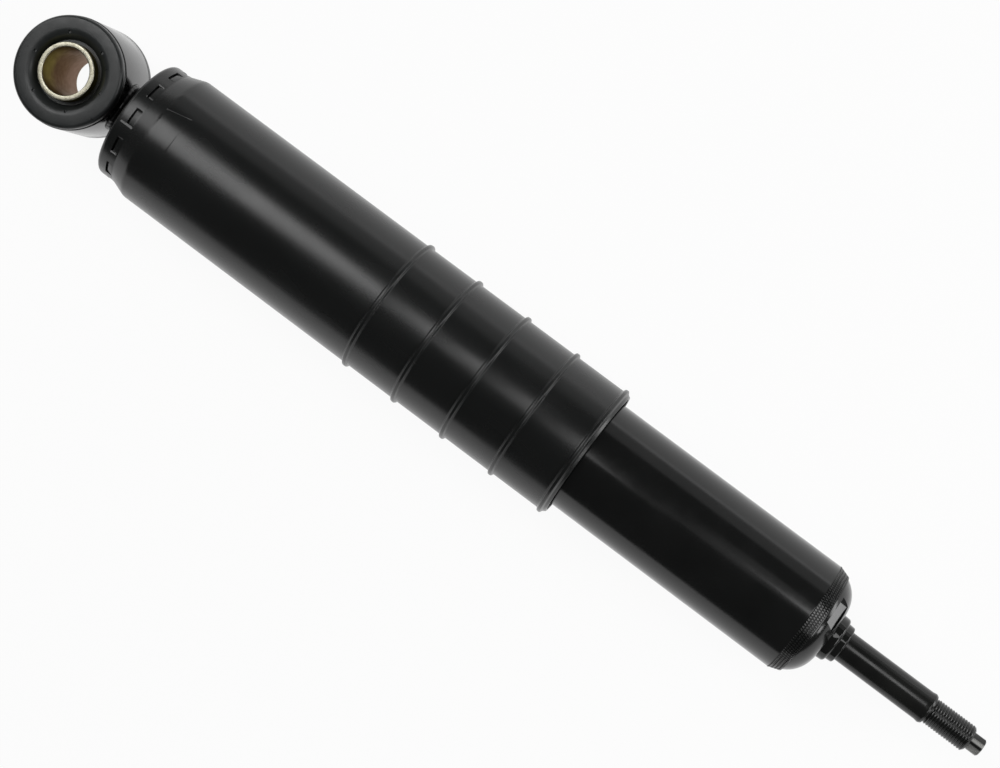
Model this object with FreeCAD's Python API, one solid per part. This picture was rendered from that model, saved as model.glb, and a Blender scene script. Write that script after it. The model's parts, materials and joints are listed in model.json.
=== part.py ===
import FreeCAD, Part
import math
import os

# Twin-tube hydraulic shock absorber with a rubber-bushed eye, a snap-on dust cover and a stem pin.
# The origin is the centre of the eye's bore, +Z runs along that bore and +X along the damper,
# from the eye to the pin. Sizes are millimetres, and the damper is drawn fully extended.

Vector = FreeCAD.Vector
ORIGIN = Vector(0, 0, 0)
AXIS_X = Vector(1, 0, 0)
AXIS_Z = Vector(0, 0, 1)
HEX_SIDES = 6
SQUARE_SIDES = 4
ROUND_LIMIT = 0.9

# Clearances
RUNNING_GAP = 0.05
SEAT_GAP = 0.05
FREE_GAP = 0.3

# Eye: sleeve, rubber bush and steel ring
SLEEVE_BORE_D = 24.0
SLEEVE_WALL = 2.5
SLEEVE_PROUD = 2.5
SLEEVE_CHAMFER = 0.6
BUSH_WALL = 8.95
BUSH_LIP = 5.0
BUSH_LIP_SETBACK = 0.4
BUSH_LIP_ROUND = 3.2
BUSH_DISH_DEPTH = 4.0
BUSH_DISH_WIDTH = 1.6
BUSH_CROWN_ROUND = 6.0
RING_WALL = 5.0
RING_WIDTH = 40.0
RING_CHAMFER = 0.8

# Rod head: weld, cover plate and the room between the ring and the cover
HEAD_GAP = 6.9
WELD_SIZE = 4.5
WELD_SINK = 0.8
PLATE_D = 60.6
PLATE_WALL = 2.5
PLATE_HEIGHT = 7.3
PLATE_ROUND = 1.2
PLATE_FIT = 0.2

# Dust cover
COVER_WALL = 2.0
COVER_GAP = 3.5
COVER_OVERLAP = 117.0
COVER_LIP_REACH = 4.5
COVER_EDGE_ROUND = 2.4
COVER_END_TAPER = 0.9
NECK_MARGIN = 0.8
CONE_LENGTH = 8.3
WINDOW_COUNT = 12
WINDOW_ANGLE = 16.0
WINDOW_HEIGHT = 3.4
WINDOW_TURN = -4.0
NOSE_ANGLE = 12.0
NOSE_REACH = 1.2
NOSE_LAND = 1.2
NOSE_RAMP = 2.4
RIB_COUNT = 5
RIB_PITCH = 30.0
RIB_WIDTH = 3.2
RIB_HEIGHT = 1.5
RIB_INSET = 3.0

# Stroke and the room left at its two ends
STROKE = 145.0
BUMP_ROOM = 10.3
PISTON_ROOM = 5.5

# Piston rod
ROD_D = 18.0
SPIGOT_D = 12.0
ROD_END = 1.5
ROD_CHAMFER = 0.8

# Reservoir tube and its rolled ends
TUBE_D = 60.0
TUBE_WALL = 2.0
TUBE_LIP_WIDTH = 8.0
TUBE_LIP_ROUND = 3.0
CRIMP_LENGTH = 6.5
CRIMP_DRAW = 0.8
CRIMP_EDGE = 0.55

# Working cylinder
CYLINDER_BORE_D = 43.0
CYLINDER_WALL = 1.5

# Rod guide, guide bush, oil seal and its cover plate
SEAL_PLATE_T = 2.5
SEAL_DEPTH = 8.0
SEAL_WIDTH = 7.0
SEAL_LIP = 2.0
SEAL_WALL = 2.6
SEAL_WEB = 3.5
GARTER_D = 1.6
GUIDE_FLANGE = 12.0
GUIDE_SPIGOT = 12.0
GUIDE_WEB = 2.0
GUIDE_BUSH_WALL = 1.5
GUIDE_GROOVE_WIDTH = 3.2
GUIDE_GROOVE_DEPTH = 2.2

# Rebound stop
BUFFER_LENGTH = 6.0
BUFFER_WIDTH = 5.5
STOP_LENGTH = 4.0
STOP_GROOVE = 1.0
STOP_SHOULDER = 2.0

# Valve seats that the piston and the base valve share
INNER_PORT_COUNT = 6
INNER_PORT_D = 3.0
OUTER_PORT_COUNT = 8
OUTER_PORT_D = 3.5
PORT_LAND = 0.75
CHECK_T = 1.2
CHECK_GUIDE_GAP = 0.25
CHECK_SPRING_ROOM = 2.0
CHECK_SPRING_T = 0.4
CHECK_SPRING_ARMS = 6
CHECK_SPRING_SLOT = 2.6
SUPPORT_T = 2.5
SUPPORT_REACH = 2.6
DISC_T = 0.4
DISC_COUNT = 3
DISC_STEP = 1.0

# Piston
PISTON_LENGTH = 16.0
PISTON_GAP = 0.4
BAND_LENGTH = 9.0
BAND_DEPTH = 1.5
DISC_SUPPORT_T = 3.0
NUT_FLATS = 19.0
PISTON_NUT_HEIGHT = 8.0

# Base valve
BASE_SPIGOT = 3.0
BASE_FLANGE = 3.0
FOOT_HEIGHT = 8.5
FOOT_WALL = 3.0
FOOT_GAP = 1.45
FOOT_SLOTS = 6
FOOT_SLOT_WIDTH = 8.0
FOOT_SLOT_HEIGHT = 4.0
BOLT_HEAD_FLATS = 17.0
BOLT_HEAD_HEIGHT = 3.0
BASE_NUT_HEIGHT = 6.0

# Bottom cap
CAP_SKIRT = 8.0
CAP_SKIRT_WALL = 3.5
CAP_FLOOR = 4.1
DOME_KNUCKLE = 16.0
DOME_HEIGHT = 9.0
NOTCH_COUNT = 2
NOTCH_WIDTH = 16.0
NOTCH_FLATS = 35.0
NOTCH_START = 2.15
NOTCH_TURN = -33.0

# Stem pin
PIN_ROOT_D = 16.0
PIN_ROOT_DEPTH = 9.0
COLLAR_D = 24.6
COLLAR_LENGTH = 4.6
STEP_D = 20.5
STEP_LENGTH = 3.8
COLLAR_ROUND = 1.6
STEP_ROUND = 0.8
SHANK_D = 16.0
SHANK_LENGTH = 50.9
SHANK_CHAMFER = 0.8
RELIEF_D = 13.0
RELIEF_LENGTH = 1.6
THREAD_D = 14.0
THREAD_LENGTH = 22.0
THREAD_CHAMFER = 1.2
DRIVE_D = 9.2
DRIVE_FLATS = 8.5
DRIVE_TURN = -9.0
DRIVE_LENGTH = 7.0
DRIVE_CHAMFER = 0.6

# Radii of the eye
sleeve_bore_r = SLEEVE_BORE_D / 2
sleeve_r = sleeve_bore_r + SLEEVE_WALL
bush_bore_r = sleeve_r + RUNNING_GAP
ring_bore_r = bush_bore_r + BUSH_WALL + SEAT_GAP
ring_r = ring_bore_r + RING_WALL
bush_end = RING_WIDTH / 2 + BUSH_LIP
sleeve_end = bush_end + SLEEVE_PROUD

# Radii of the damper
rod_r = ROD_D / 2
spigot_r = SPIGOT_D / 2
spigot_bore_r = spigot_r + SEAT_GAP
tube_r = TUBE_D / 2
tube_bore_r = tube_r - TUBE_WALL
tube_fit_r = tube_bore_r - SEAT_GAP
cylinder_bore_r = CYLINDER_BORE_D / 2
cylinder_r = cylinder_bore_r + CYLINDER_WALL
plate_r = PLATE_D / 2
neck_bore_r = plate_r + PLATE_FIT
neck_r = neck_bore_r + COVER_WALL
cover_bore_r = tube_r + COVER_GAP
cover_r = cover_bore_r + COVER_WALL
guide_bore_r = rod_r + RUNNING_GAP
guide_bush_r = guide_bore_r + GUIDE_BUSH_WALL
rod_clear_r = rod_r + FREE_GAP
seal_r = guide_bore_r + SEAL_WIDTH
stop_r = rod_r + BUFFER_WIDTH

# Radii of the valves
inner_port_r = rod_r + PORT_LAND + INNER_PORT_D / 2
hub_r = inner_port_r + INNER_PORT_D / 2 + PORT_LAND
check_bore_r = hub_r + CHECK_GUIDE_GAP
outer_port_r = check_bore_r + PORT_LAND + OUTER_PORT_D / 2
check_r = outer_port_r + OUTER_PORT_D / 2 + PORT_LAND
support_r = hub_r + SUPPORT_REACH
piston_r = cylinder_bore_r - PISTON_GAP
groove_r = piston_r - BAND_DEPTH
hub_height = CHECK_T + SEAT_GAP + CHECK_SPRING_ROOM
disc_stack = DISC_COUNT * DISC_T
skirt_bore_r = tube_fit_r - CAP_SKIRT_WALL
foot_r = skirt_bore_r - FOOT_GAP
foot_bore_r = foot_r - FOOT_WALL
flange_r = max(cylinder_r, foot_r)

# Stations along the damper: head and cover
x_cover_top = ring_r + HEAD_GAP
x_plate_top = x_cover_top + COVER_WALL
x_plate_end = x_plate_top + PLATE_HEIGHT
x_cone = x_plate_end + NECK_MARGIN
x_barrel = x_cone + CONE_LENGTH
x_tube_top = x_plate_end + BUMP_ROOM + STROKE
x_cover_end = x_tube_top + COVER_OVERLAP

# Stations along the damper: rod guide and piston
x_seal_plate = x_tube_top + TUBE_WALL
x_guide = x_seal_plate + SEAL_PLATE_T
x_guide_shoulder = x_guide + GUIDE_FLANGE
x_guide_end = x_guide_shoulder + GUIDE_SPIGOT
x_guide_bush = x_guide + SEAL_DEPTH + GUIDE_WEB
x_buffer = x_guide_end + FREE_GAP
x_stop = x_buffer + BUFFER_LENGTH
x_support = x_stop + STOP_LENGTH + STOP_SHOULDER
x_piston_hub = x_support + SUPPORT_T
x_piston = x_piston_hub + hub_height
x_piston_end = x_piston + PISTON_LENGTH
x_disc_support = x_piston_end + disc_stack
x_piston_nut = x_disc_support + DISC_SUPPORT_T
x_rod_end = x_piston_nut + PISTON_NUT_HEIGHT + ROD_END

# Stations along the damper: base valve, cap and pin
x_bolt_head = x_rod_end + STROKE + PISTON_ROOM
x_bolt_flange = x_bolt_head + BOLT_HEAD_HEIGHT
x_base_hub = x_bolt_flange + SUPPORT_T
x_base = x_base_hub + hub_height
x_base_flange = x_base + BASE_SPIGOT
x_base_under = x_base_flange + BASE_FLANGE
x_base_nut = x_base_under + disc_stack
x_cap_floor = x_base_under + FOOT_HEIGHT
x_tube_end = x_cap_floor + CAP_FLOOR
x_crimp = x_tube_end - CRIMP_LENGTH
x_dome = x_tube_end + DOME_HEIGHT
x_collar = x_dome + COLLAR_LENGTH
x_shoulder = x_collar + STEP_LENGTH
x_shank_end = x_shoulder + SHANK_LENGTH
x_thread = x_shank_end + RELIEF_LENGTH
x_thread_end = x_thread + THREAD_LENGTH
x_pin_end = x_thread_end + DRIVE_LENGTH

# Dome of the bottom cap: an arc from the tube's rolled edge to a flat crown
dome_edge_r = tube_bore_r - CRIMP_DRAW
dome_sweep = math.acos(1 - DOME_HEIGHT / DOME_KNUCKLE)
dome_crown_r = dome_edge_r - SEAT_GAP - DOME_KNUCKLE * math.sin(dome_sweep)
x_dome_centre = x_dome - DOME_KNUCKLE


def along_x(x, r):
    """Point of an outline that is turned about the X axis."""
    return Vector(x, 0, r)


def along_z(z, r):
    """Point of an outline that is turned about the Z axis."""
    return Vector(r, 0, z)


def outline(place, start, *steps):
    """Closed wire of straight steps to a point, and arcs where a step is a (middle, end) pair."""
    edges = []
    here = place(*start)
    for step in steps + (start,):
        if isinstance(step[0], tuple):
            end = place(*step[1])
            edges.append(Part.Arc(here, place(*step[0]), end).toShape())
        else:
            end = place(*step)
            edges.append(Part.LineSegment(here, end).toShape())
        here = end
    return Part.Wire(edges)


def spun(wire, axis, angle):
    """Solid swept by a flat wire about an axis through the origin."""
    solid = Part.Face(wire).revolve(ORIGIN, axis, angle)
    if solid.Volume < 0:
        solid.reverse()
    return solid


def turned(start, *steps):
    """Solid of revolution about the damper's axis, from (x, radius) points."""
    return spun(outline(along_x, start, *steps), AXIS_X, 360)


def turned_eye(start, *steps):
    """Solid of revolution about the eye's axis, from (z, radius) points."""
    return spun(outline(along_z, start, *steps), AXIS_Z, 360)


def sector(angle, start, *steps):
    """Part turn of an outline about the damper's axis, centred on +Z."""
    solid = spun(outline(along_x, start, *steps), AXIS_X, angle)
    solid.rotate(ORIGIN, AXIS_X, -angle / 2)
    return solid


def ring(x_low, x_high, inner_r, outer_r):
    """Plain ring about the damper's axis."""
    return turned((x_low, inner_r), (x_low, outer_r), (x_high, outer_r), (x_high, inner_r))


def circle_of(shape, count, turn=0.0):
    """Copies of a shape spread evenly about the damper's axis."""
    copies = []
    for index in range(count):
        copy = shape.copy()
        copy.rotate(ORIGIN, AXIS_X, turn + index * 360.0 / count)
        copies.append(copy)
    return Part.makeCompound(copies)


def ports(count, circle_r, hole_d, x_low, x_high):
    """Ring of round holes along the damper."""
    hole = Part.makeCylinder(hole_d / 2, x_high - x_low, Vector(x_low, 0, circle_r), AXIS_X)
    return circle_of(hole, count)


def prism(sides, flats, x_low, x_high):
    """Regular prism along the damper, of a given width across its flats."""
    corner_r = flats / 2 / math.cos(math.pi / sides)
    corners = []
    for index in range(sides + 1):
        angle = 2 * math.pi * index / sides
        corners.append(Vector(x_low, corner_r * math.sin(angle), corner_r * math.cos(angle)))
    return Part.Face(Part.makePolygon(corners)).extrude(Vector(x_high - x_low, 0, 0))


def round_point(centre, radius, angle):
    """Point on an arc of an outline, at an angle from the damper's axis."""
    return (centre[0] + radius * math.cos(angle), centre[1] + radius * math.sin(angle))


def corner_arc(centre, radius, angle):
    """Arc step of a quarter turn to the side at an angle, bulging at 45 degrees before it."""
    middle = round_point(centre, radius, angle + math.pi / 4)
    return (middle, round_point(centre, radius, angle))


def eye_sleeve():
    """Zinc-plated steel tube that the mounting bolt clamps."""
    chamfered = sleeve_end - SLEEVE_CHAMFER
    inner = sleeve_bore_r + SLEEVE_CHAMFER
    outer = sleeve_r - SLEEVE_CHAMFER
    return turned_eye(
        (-chamfered, sleeve_bore_r), (-sleeve_end, inner), (-sleeve_end, outer), (-chamfered, sleeve_r),
        (chamfered, sleeve_r), (sleeve_end, outer), (sleeve_end, inner), (chamfered, sleeve_bore_r),
    )


def eye_ring():
    """Steel ring that holds the rubber bush."""
    half = RING_WIDTH / 2
    chamfered = half - RING_CHAMFER
    outer = ring_r - RING_CHAMFER
    return turned_eye(
        (-half, ring_bore_r), (-half, outer), (-chamfered, ring_r),
        (chamfered, ring_r), (half, outer), (half, ring_bore_r),
    )


def bush_half():
    """Upper half of the bush: a plug in the ring, a lip over the ring's edge and a dish at the sleeve."""
    half = RING_WIDTH / 2
    plug_r = ring_bore_r - SEAT_GAP
    lip_r = ring_r - BUSH_LIP_SETBACK
    lip_centre = (bush_end - BUSH_LIP_ROUND, lip_r - BUSH_LIP_ROUND)
    dish_r = bush_bore_r + BUSH_DISH_WIDTH
    dish_z = bush_end - BUSH_DISH_DEPTH
    sweep = math.acos(1 - BUSH_DISH_DEPTH / BUSH_CROWN_ROUND)
    crown_centre = (bush_end - BUSH_CROWN_ROUND, dish_r + BUSH_CROWN_ROUND * math.sin(sweep))
    return turned_eye(
        (0, bush_bore_r), (0, plug_r), (half, plug_r), (half, lip_r), (lip_centre[0], lip_r),
        corner_arc(lip_centre, BUSH_LIP_ROUND, 0.0), (bush_end, crown_centre[1]),
        (round_point(crown_centre, BUSH_CROWN_ROUND, -sweep / 2), (dish_z, dish_r)), (dish_z, bush_bore_r),
    )


def eye_bush():
    """Rubber bush, alike at both ends."""
    upper = bush_half()
    return upper.fuse(upper.mirror(ORIGIN, AXIS_Z)).removeSplitter()


def piston_rod():
    """Polished rod, welded to the ring at its head, with a grooved neck and a spigot for the piston."""
    weld_r = rod_r + WELD_SIZE
    x_start = math.sqrt(ring_r ** 2 - weld_r ** 2) - WELD_SIZE
    stop_floor_r = rod_r - STOP_GROOVE
    rod = turned(
        (x_start, 0), (x_start, weld_r), (ring_r - WELD_SINK, weld_r), (ring_r + WELD_SIZE, rod_r),
        (x_stop, rod_r), (x_stop, stop_floor_r), (x_stop + STOP_LENGTH, stop_floor_r),
        (x_stop + STOP_LENGTH, rod_r), (x_support, rod_r), (x_support, spigot_r),
        (x_rod_end - ROD_CHAMFER, spigot_r), (x_rod_end, spigot_r - ROD_CHAMFER), (x_rod_end, 0),
    )
    eye = Part.makeCylinder(ring_r, 2 * RING_WIDTH, Vector(0, 0, -RING_WIDTH), AXIS_Z)
    return rod.cut(eye)


def cover_plate():
    """Pressed steel cup on the rod's head, which the dust cover snaps over."""
    bore_r = rod_r + SEAT_GAP
    round_centre = (x_plate_end - PLATE_ROUND, plate_r - PLATE_ROUND)
    inner_r = plate_r - PLATE_WALL
    return turned(
        (x_plate_top, inner_r), (x_plate_top, plate_r), (x_plate_end - PLATE_ROUND, plate_r),
        corner_arc(round_centre, PLATE_ROUND, 0.0), (x_plate_end, bore_r),
        (x_plate_end - PLATE_WALL, bore_r), (x_plate_end - PLATE_WALL, inner_r),
    )


def cover_shell():
    """Turned wall of the dust cover: lip, neck, cone, ribbed barrel and tapered mouth."""
    lip_r = neck_bore_r - COVER_LIP_REACH
    edge_centre = (x_cover_top + COVER_EDGE_ROUND, neck_r - COVER_EDGE_ROUND)
    outer = [(x_cover_top, edge_centre[1]), corner_arc(edge_centre, COVER_EDGE_ROUND, math.pi / 2)]
    outer += [(x_cone, neck_r), (x_barrel, cover_r)]
    for index in reversed(range(RIB_COUNT)):
        x_rib = x_cover_end - RIB_INSET - index * RIB_PITCH
        outer.append((x_rib - RIB_WIDTH / 2, cover_r))
        outer.append(((x_rib, cover_r + RIB_HEIGHT), (x_rib + RIB_WIDTH / 2, cover_r)))
    outer.append((x_cover_end, cover_r - COVER_END_TAPER))
    inner = [(x_cover_end, cover_bore_r), (x_barrel, cover_bore_r), (x_cone, neck_bore_r)]
    inner += [(x_plate_top, neck_bore_r), (x_plate_top, lip_r)]
    return turned((x_cover_top, lip_r), *outer, *inner)


def dust_cover():
    """Moulded cover: a ring of snap noses holds the plate, each under the window that frees it."""
    middle_r = (neck_bore_r + neck_r) / 2
    nose_r = neck_bore_r - NOSE_REACH
    x_nose = x_plate_end + SEAT_GAP
    x_land = x_nose + NOSE_LAND
    nose = sector(
        NOSE_ANGLE,
        (x_nose, middle_r), (x_nose, nose_r), (x_land, nose_r), (x_land + NOSE_RAMP, middle_r),
    )
    window = sector(
        WINDOW_ANGLE,
        (x_plate_end - WINDOW_HEIGHT, nose_r), (x_plate_end - WINDOW_HEIGHT, neck_r + COVER_WALL),
        (x_nose, neck_r + COVER_WALL), (x_nose, nose_r),
    )
    shell = cover_shell().fuse(circle_of(nose, WINDOW_COUNT, WINDOW_TURN))
    return shell.cut(circle_of(window, WINDOW_COUNT, WINDOW_TURN)).removeSplitter()


def reservoir_tube():
    """Outer tube, rolled over the seal plate at its top and onto the cap at its foot."""
    lip_r = tube_bore_r - TUBE_LIP_WIDTH
    x_lip_under = x_tube_top + TUBE_WALL
    round_centre = (x_tube_top + TUBE_LIP_ROUND, tube_r - TUBE_LIP_ROUND)
    return turned(
        (x_tube_top, lip_r), (x_tube_top, round_centre[1]),
        corner_arc(round_centre, TUBE_LIP_ROUND, math.pi / 2),
        (x_crimp, tube_r), (x_tube_end, dome_edge_r + CRIMP_EDGE), (x_tube_end, dome_edge_r),
        (x_crimp, tube_bore_r), (x_lip_under, tube_bore_r), (x_lip_under, lip_r),
    )


def working_cylinder():
    """Inner tube between the rod guide and the base valve."""
    return ring(x_guide_shoulder, x_base_flange, cylinder_bore_r, cylinder_r)


def seal_plate():
    """Steel disc under the tube's rolled lip, over the oil seal."""
    return ring(x_seal_plate, x_guide, rod_clear_r, tube_fit_r)


def rod_guide():
    """Guide with a pocket for the oil seal, a seat for the bush and a groove for its own seal ring."""
    spigot_outer_r = cylinder_bore_r - SEAT_GAP
    pocket_r = seal_r + SEAT_GAP
    bush_seat_r = guide_bush_r + SEAT_GAP
    groove_floor_r = tube_fit_r - GUIDE_GROOVE_DEPTH
    x_groove = x_guide + (GUIDE_FLANGE - GUIDE_GROOVE_WIDTH) / 2
    x_pocket_end = x_guide + SEAL_DEPTH
    return turned(
        (x_guide, pocket_r), (x_guide, tube_fit_r), (x_groove, tube_fit_r), (x_groove, groove_floor_r),
        (x_groove + GUIDE_GROOVE_WIDTH, groove_floor_r), (x_groove + GUIDE_GROOVE_WIDTH, tube_fit_r),
        (x_guide_shoulder, tube_fit_r), (x_guide_shoulder, spigot_outer_r),
        (x_guide_end, spigot_outer_r), (x_guide_end, bush_seat_r), (x_guide_bush, bush_seat_r),
        (x_guide_bush, rod_clear_r), (x_pocket_end, rod_clear_r), (x_pocket_end, pocket_r),
    )


def guide_bush():
    """Plain bearing that the rod slides in."""
    return ring(x_guide_bush, x_guide_end, guide_bore_r, guide_bush_r)


def guide_seal():
    """Rubber ring between the guide and the reservoir tube."""
    section_r = (GUIDE_GROOVE_DEPTH - SEAT_GAP) / 2
    middle_r = tube_fit_r - GUIDE_GROOVE_DEPTH / 2
    return Part.makeTorus(middle_r, section_r, Vector(x_guide + GUIDE_FLANGE / 2, 0, 0), AXIS_X)


def rod_seal():
    """Oil seal with a lip on the rod and a channel for its garter spring."""
    x_end = x_guide + SEAL_DEPTH
    x_channel = x_guide + SEAL_WEB
    lip_r = guide_bore_r + SEAL_LIP
    wall_r = seal_r - SEAL_WALL
    return turned(
        (x_guide, guide_bore_r), (x_guide, seal_r), (x_end, seal_r), (x_end, wall_r),
        (x_channel, wall_r), (x_channel, lip_r), (x_end, lip_r), (x_end, guide_bore_r),
    )


def garter_spring():
    """Spring ring that presses the seal's lip onto the rod."""
    section_r = GARTER_D / 2
    middle_r = guide_bore_r + SEAL_LIP + SEAT_GAP + section_r
    return Part.makeTorus(middle_r, section_r, Vector(x_guide + SEAL_WEB + GARTER_D, 0, 0), AXIS_X)


def rebound_buffer():
    """Elastic ring that meets the rod guide at full extension."""
    return ring(x_buffer, x_stop, rod_clear_r, stop_r)


def rebound_stop():
    """Steel ring rolled into the rod's groove, which carries the buffer."""
    return ring(x_stop, x_stop + STOP_LENGTH, rod_r - STOP_GROOVE + SEAT_GAP, stop_r)


def support_disc(x_low, bore_r):
    """Disc over a valve hub, with holes in line with the inner ports."""
    disc = ring(x_low, x_low + SUPPORT_T, bore_r, support_r)
    return disc.cut(ports(INNER_PORT_COUNT, inner_port_r, INNER_PORT_D, x_low, x_low + SUPPORT_T))


def check_plate(x_hub):
    """Loose ring that lifts off the outer ports."""
    x_low = x_hub + CHECK_SPRING_ROOM
    return ring(x_low, x_low + CHECK_T, check_bore_r, check_r)


def check_spring(x_hub):
    """Slotted star spring between the support disc and the check plate."""
    x_end = x_hub + CHECK_SPRING_ROOM - SEAT_GAP
    inner_r = check_bore_r
    star = turned(
        (x_hub, inner_r), (x_hub, inner_r + CHECK_SPRING_T), (x_end, check_r),
        (x_end, check_r - CHECK_SPRING_T),
    )
    slot = Part.makeBox(
        CHECK_SPRING_ROOM, CHECK_SPRING_SLOT, check_r, Vector(x_hub, -CHECK_SPRING_SLOT / 2, support_r)
    )
    return star.cut(circle_of(slot, CHECK_SPRING_ARMS))


def disc_pack(x_low):
    """Stack of spring-steel discs that step down in size away from their seat."""
    discs = []
    for index in range(DISC_COUNT):
        x_disc = x_low + index * DISC_T
        discs.append(ring(x_disc, x_disc + DISC_T, spigot_bore_r, hub_r - index * DISC_STEP))
    return Part.makeCompound(discs)


def valve_ports(x_hub, x_face, x_under):
    """Inner ports through a valve's hub, and outer ports under its check plate."""
    inner = ports(INNER_PORT_COUNT, inner_port_r, INNER_PORT_D, x_hub, x_under)
    outer = ports(OUTER_PORT_COUNT, outer_port_r, OUTER_PORT_D, x_face, x_under)
    return Part.makeCompound([inner, outer])


def piston():
    """Piston with a hub for the check plate, two rings of ports and a groove for its band."""
    x_groove = x_piston + (PISTON_LENGTH - BAND_LENGTH) / 2 - FREE_GAP
    x_groove_end = x_groove + BAND_LENGTH + 2 * FREE_GAP
    blank = turned(
        (x_piston_hub, spigot_bore_r), (x_piston_hub, hub_r), (x_piston, hub_r), (x_piston, piston_r),
        (x_groove, piston_r), (x_groove, groove_r), (x_groove_end, groove_r), (x_groove_end, piston_r),
        (x_piston_end, piston_r), (x_piston_end, spigot_bore_r),
    )
    return blank.cut(valve_ports(x_piston_hub, x_piston, x_piston_end))


def piston_band():
    """Low-friction band that runs in the cylinder."""
    x_low = x_piston + (PISTON_LENGTH - BAND_LENGTH) / 2
    return ring(x_low, x_low + BAND_LENGTH, groove_r + FREE_GAP, cylinder_bore_r - RUNNING_GAP)


def disc_support():
    """Washer between the rebound discs and the piston nut."""
    washer_r = hub_r - DISC_COUNT * DISC_STEP
    return ring(x_disc_support, x_piston_nut, spigot_bore_r, washer_r)


def hex_nut(x_low, height):
    """Hexagon nut on a spigot."""
    bore = Part.makeCylinder(spigot_bore_r, height, Vector(x_low, 0, 0), AXIS_X)
    return prism(HEX_SIDES, NUT_FLATS, x_low, x_low + height).cut(bore)


def base_valve_body():
    """Base valve under the cylinder, on a slotted foot that lets oil through from the reservoir."""
    spigot_outer_r = cylinder_bore_r - SEAT_GAP
    blank = turned(
        (x_base_hub, spigot_bore_r), (x_base_hub, hub_r), (x_base, hub_r), (x_base, spigot_outer_r),
        (x_base_flange, spigot_outer_r), (x_base_flange, flange_r), (x_base_under, flange_r),
        (x_base_under, spigot_bore_r),
    )
    foot = ring(x_base_under, x_cap_floor, foot_bore_r, foot_r)
    slot = Part.makeBox(
        FOOT_SLOT_HEIGHT, FOOT_SLOT_WIDTH, cylinder_r,
        Vector(x_cap_floor - FOOT_SLOT_HEIGHT, -FOOT_SLOT_WIDTH / 2, hub_r),
    )
    body = blank.cut(valve_ports(x_base_hub, x_base, x_base_under)).fuse(foot)
    return body.cut(circle_of(slot, FOOT_SLOTS)).removeSplitter()


def base_valve_bolt():
    """Bolt whose flange holds the base valve's check spring."""
    x_end = x_base_nut + BASE_NUT_HEIGHT
    head = prism(HEX_SIDES, BOLT_HEAD_FLATS, x_bolt_head, x_bolt_flange)
    shank = turned(
        (x_bolt_flange, 0), (x_bolt_flange, spigot_r), (x_end - ROD_CHAMFER, spigot_r),
        (x_end, spigot_r - ROD_CHAMFER), (x_end, 0),
    )
    return head.fuse([support_disc(x_bolt_flange, spigot_r), shank]).removeSplitter()


def dome_outline():
    """Arc step of the cap's dome, from its edge at the tube to its flat crown."""
    centre = (x_dome_centre, dome_crown_r)
    middle = round_point(centre, DOME_KNUCKLE, dome_sweep / 2)
    return (middle, (x_dome, dome_crown_r))


def cap_blank():
    """Forged cap: a skirt in the tube, a floor for the base valve and a domed outside."""
    x_skirt = x_cap_floor - CAP_SKIRT
    return turned(
        (x_skirt, skirt_bore_r), (x_skirt, tube_fit_r), (x_crimp, tube_fit_r),
        (x_tube_end, dome_edge_r - SEAT_GAP), dome_outline(), (x_dome, 0),
        (x_cap_floor, 0), (x_cap_floor, skirt_bore_r),
    )


def bottom_cap():
    """Cap with a blind seat for the pin's root and two wrench notches in its dome."""
    root = Part.makeCylinder(
        PIN_ROOT_D / 2, PIN_ROOT_DEPTH, Vector(x_dome - PIN_ROOT_DEPTH, 0, 0), AXIS_X
    )
    notch = Part.makeBox(
        DOME_HEIGHT, NOTCH_WIDTH, tube_r,
        Vector(x_tube_end + NOTCH_START, -NOTCH_WIDTH / 2, NOTCH_FLATS / 2),
    )
    return cap_blank().cut([root, circle_of(notch, NOTCH_COUNT, NOTCH_TURN)])


def pin_root():
    """Plain root of the pin, down to the floor of its seat in the cap."""
    root_r = PIN_ROOT_D / 2 - SEAT_GAP
    x_floor = x_dome - PIN_ROOT_DEPTH
    return Part.makeCylinder(root_r, x_collar - x_floor, Vector(x_floor, 0, 0), AXIS_X)


def drive_end():
    """Square on the pin's tip, with rounded corners, for holding it against turning."""
    drive_r = DRIVE_D / 2
    x_chamfer = x_pin_end - DRIVE_CHAMFER
    round_end = turned(
        (x_thread_end - THREAD_CHAMFER, 0), (x_thread_end - THREAD_CHAMFER, drive_r),
        (x_chamfer, drive_r), (x_pin_end, drive_r - DRIVE_CHAMFER), (x_pin_end, 0),
    )
    square = prism(SQUARE_SIDES, DRIVE_FLATS, x_thread_end - THREAD_CHAMFER, x_pin_end)
    tip = round_end.common(square)
    tip.rotate(ORIGIN, AXIS_X, DRIVE_TURN)
    return tip


def mounting_pin():
    """Stem pin: a root in the cap, two collars, a shank, a relief, a thread blank and a square end."""
    collar_r = COLLAR_D / 2
    step_r = STEP_D / 2
    shank_r = SHANK_D / 2
    relief_r = RELIEF_D / 2
    thread_r = THREAD_D / 2
    collar_round = min(COLLAR_ROUND, ROUND_LIMIT * (collar_r - step_r))
    collar_centre = (x_collar - collar_round, collar_r - collar_round)
    step_centre = (x_shoulder - STEP_ROUND, step_r - STEP_ROUND)
    stem = turned(
        (x_tube_end, 0), (x_tube_end, collar_r), (collar_centre[0], collar_r),
        corner_arc(collar_centre, collar_round, 0.0), (x_collar, step_r), (step_centre[0], step_r),
        corner_arc(step_centre, STEP_ROUND, 0.0), (x_shoulder, shank_r),
        (x_shank_end - SHANK_CHAMFER, shank_r), (x_shank_end, shank_r - SHANK_CHAMFER),
        (x_shank_end, relief_r), (x_thread - THREAD_CHAMFER, relief_r), (x_thread, thread_r),
        (x_thread_end - THREAD_CHAMFER, thread_r), (x_thread_end, thread_r - THREAD_CHAMFER),
        (x_thread_end, 0),
    )
    return stem.cut(cap_blank()).fuse([pin_root(), drive_end()]).removeSplitter()


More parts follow.
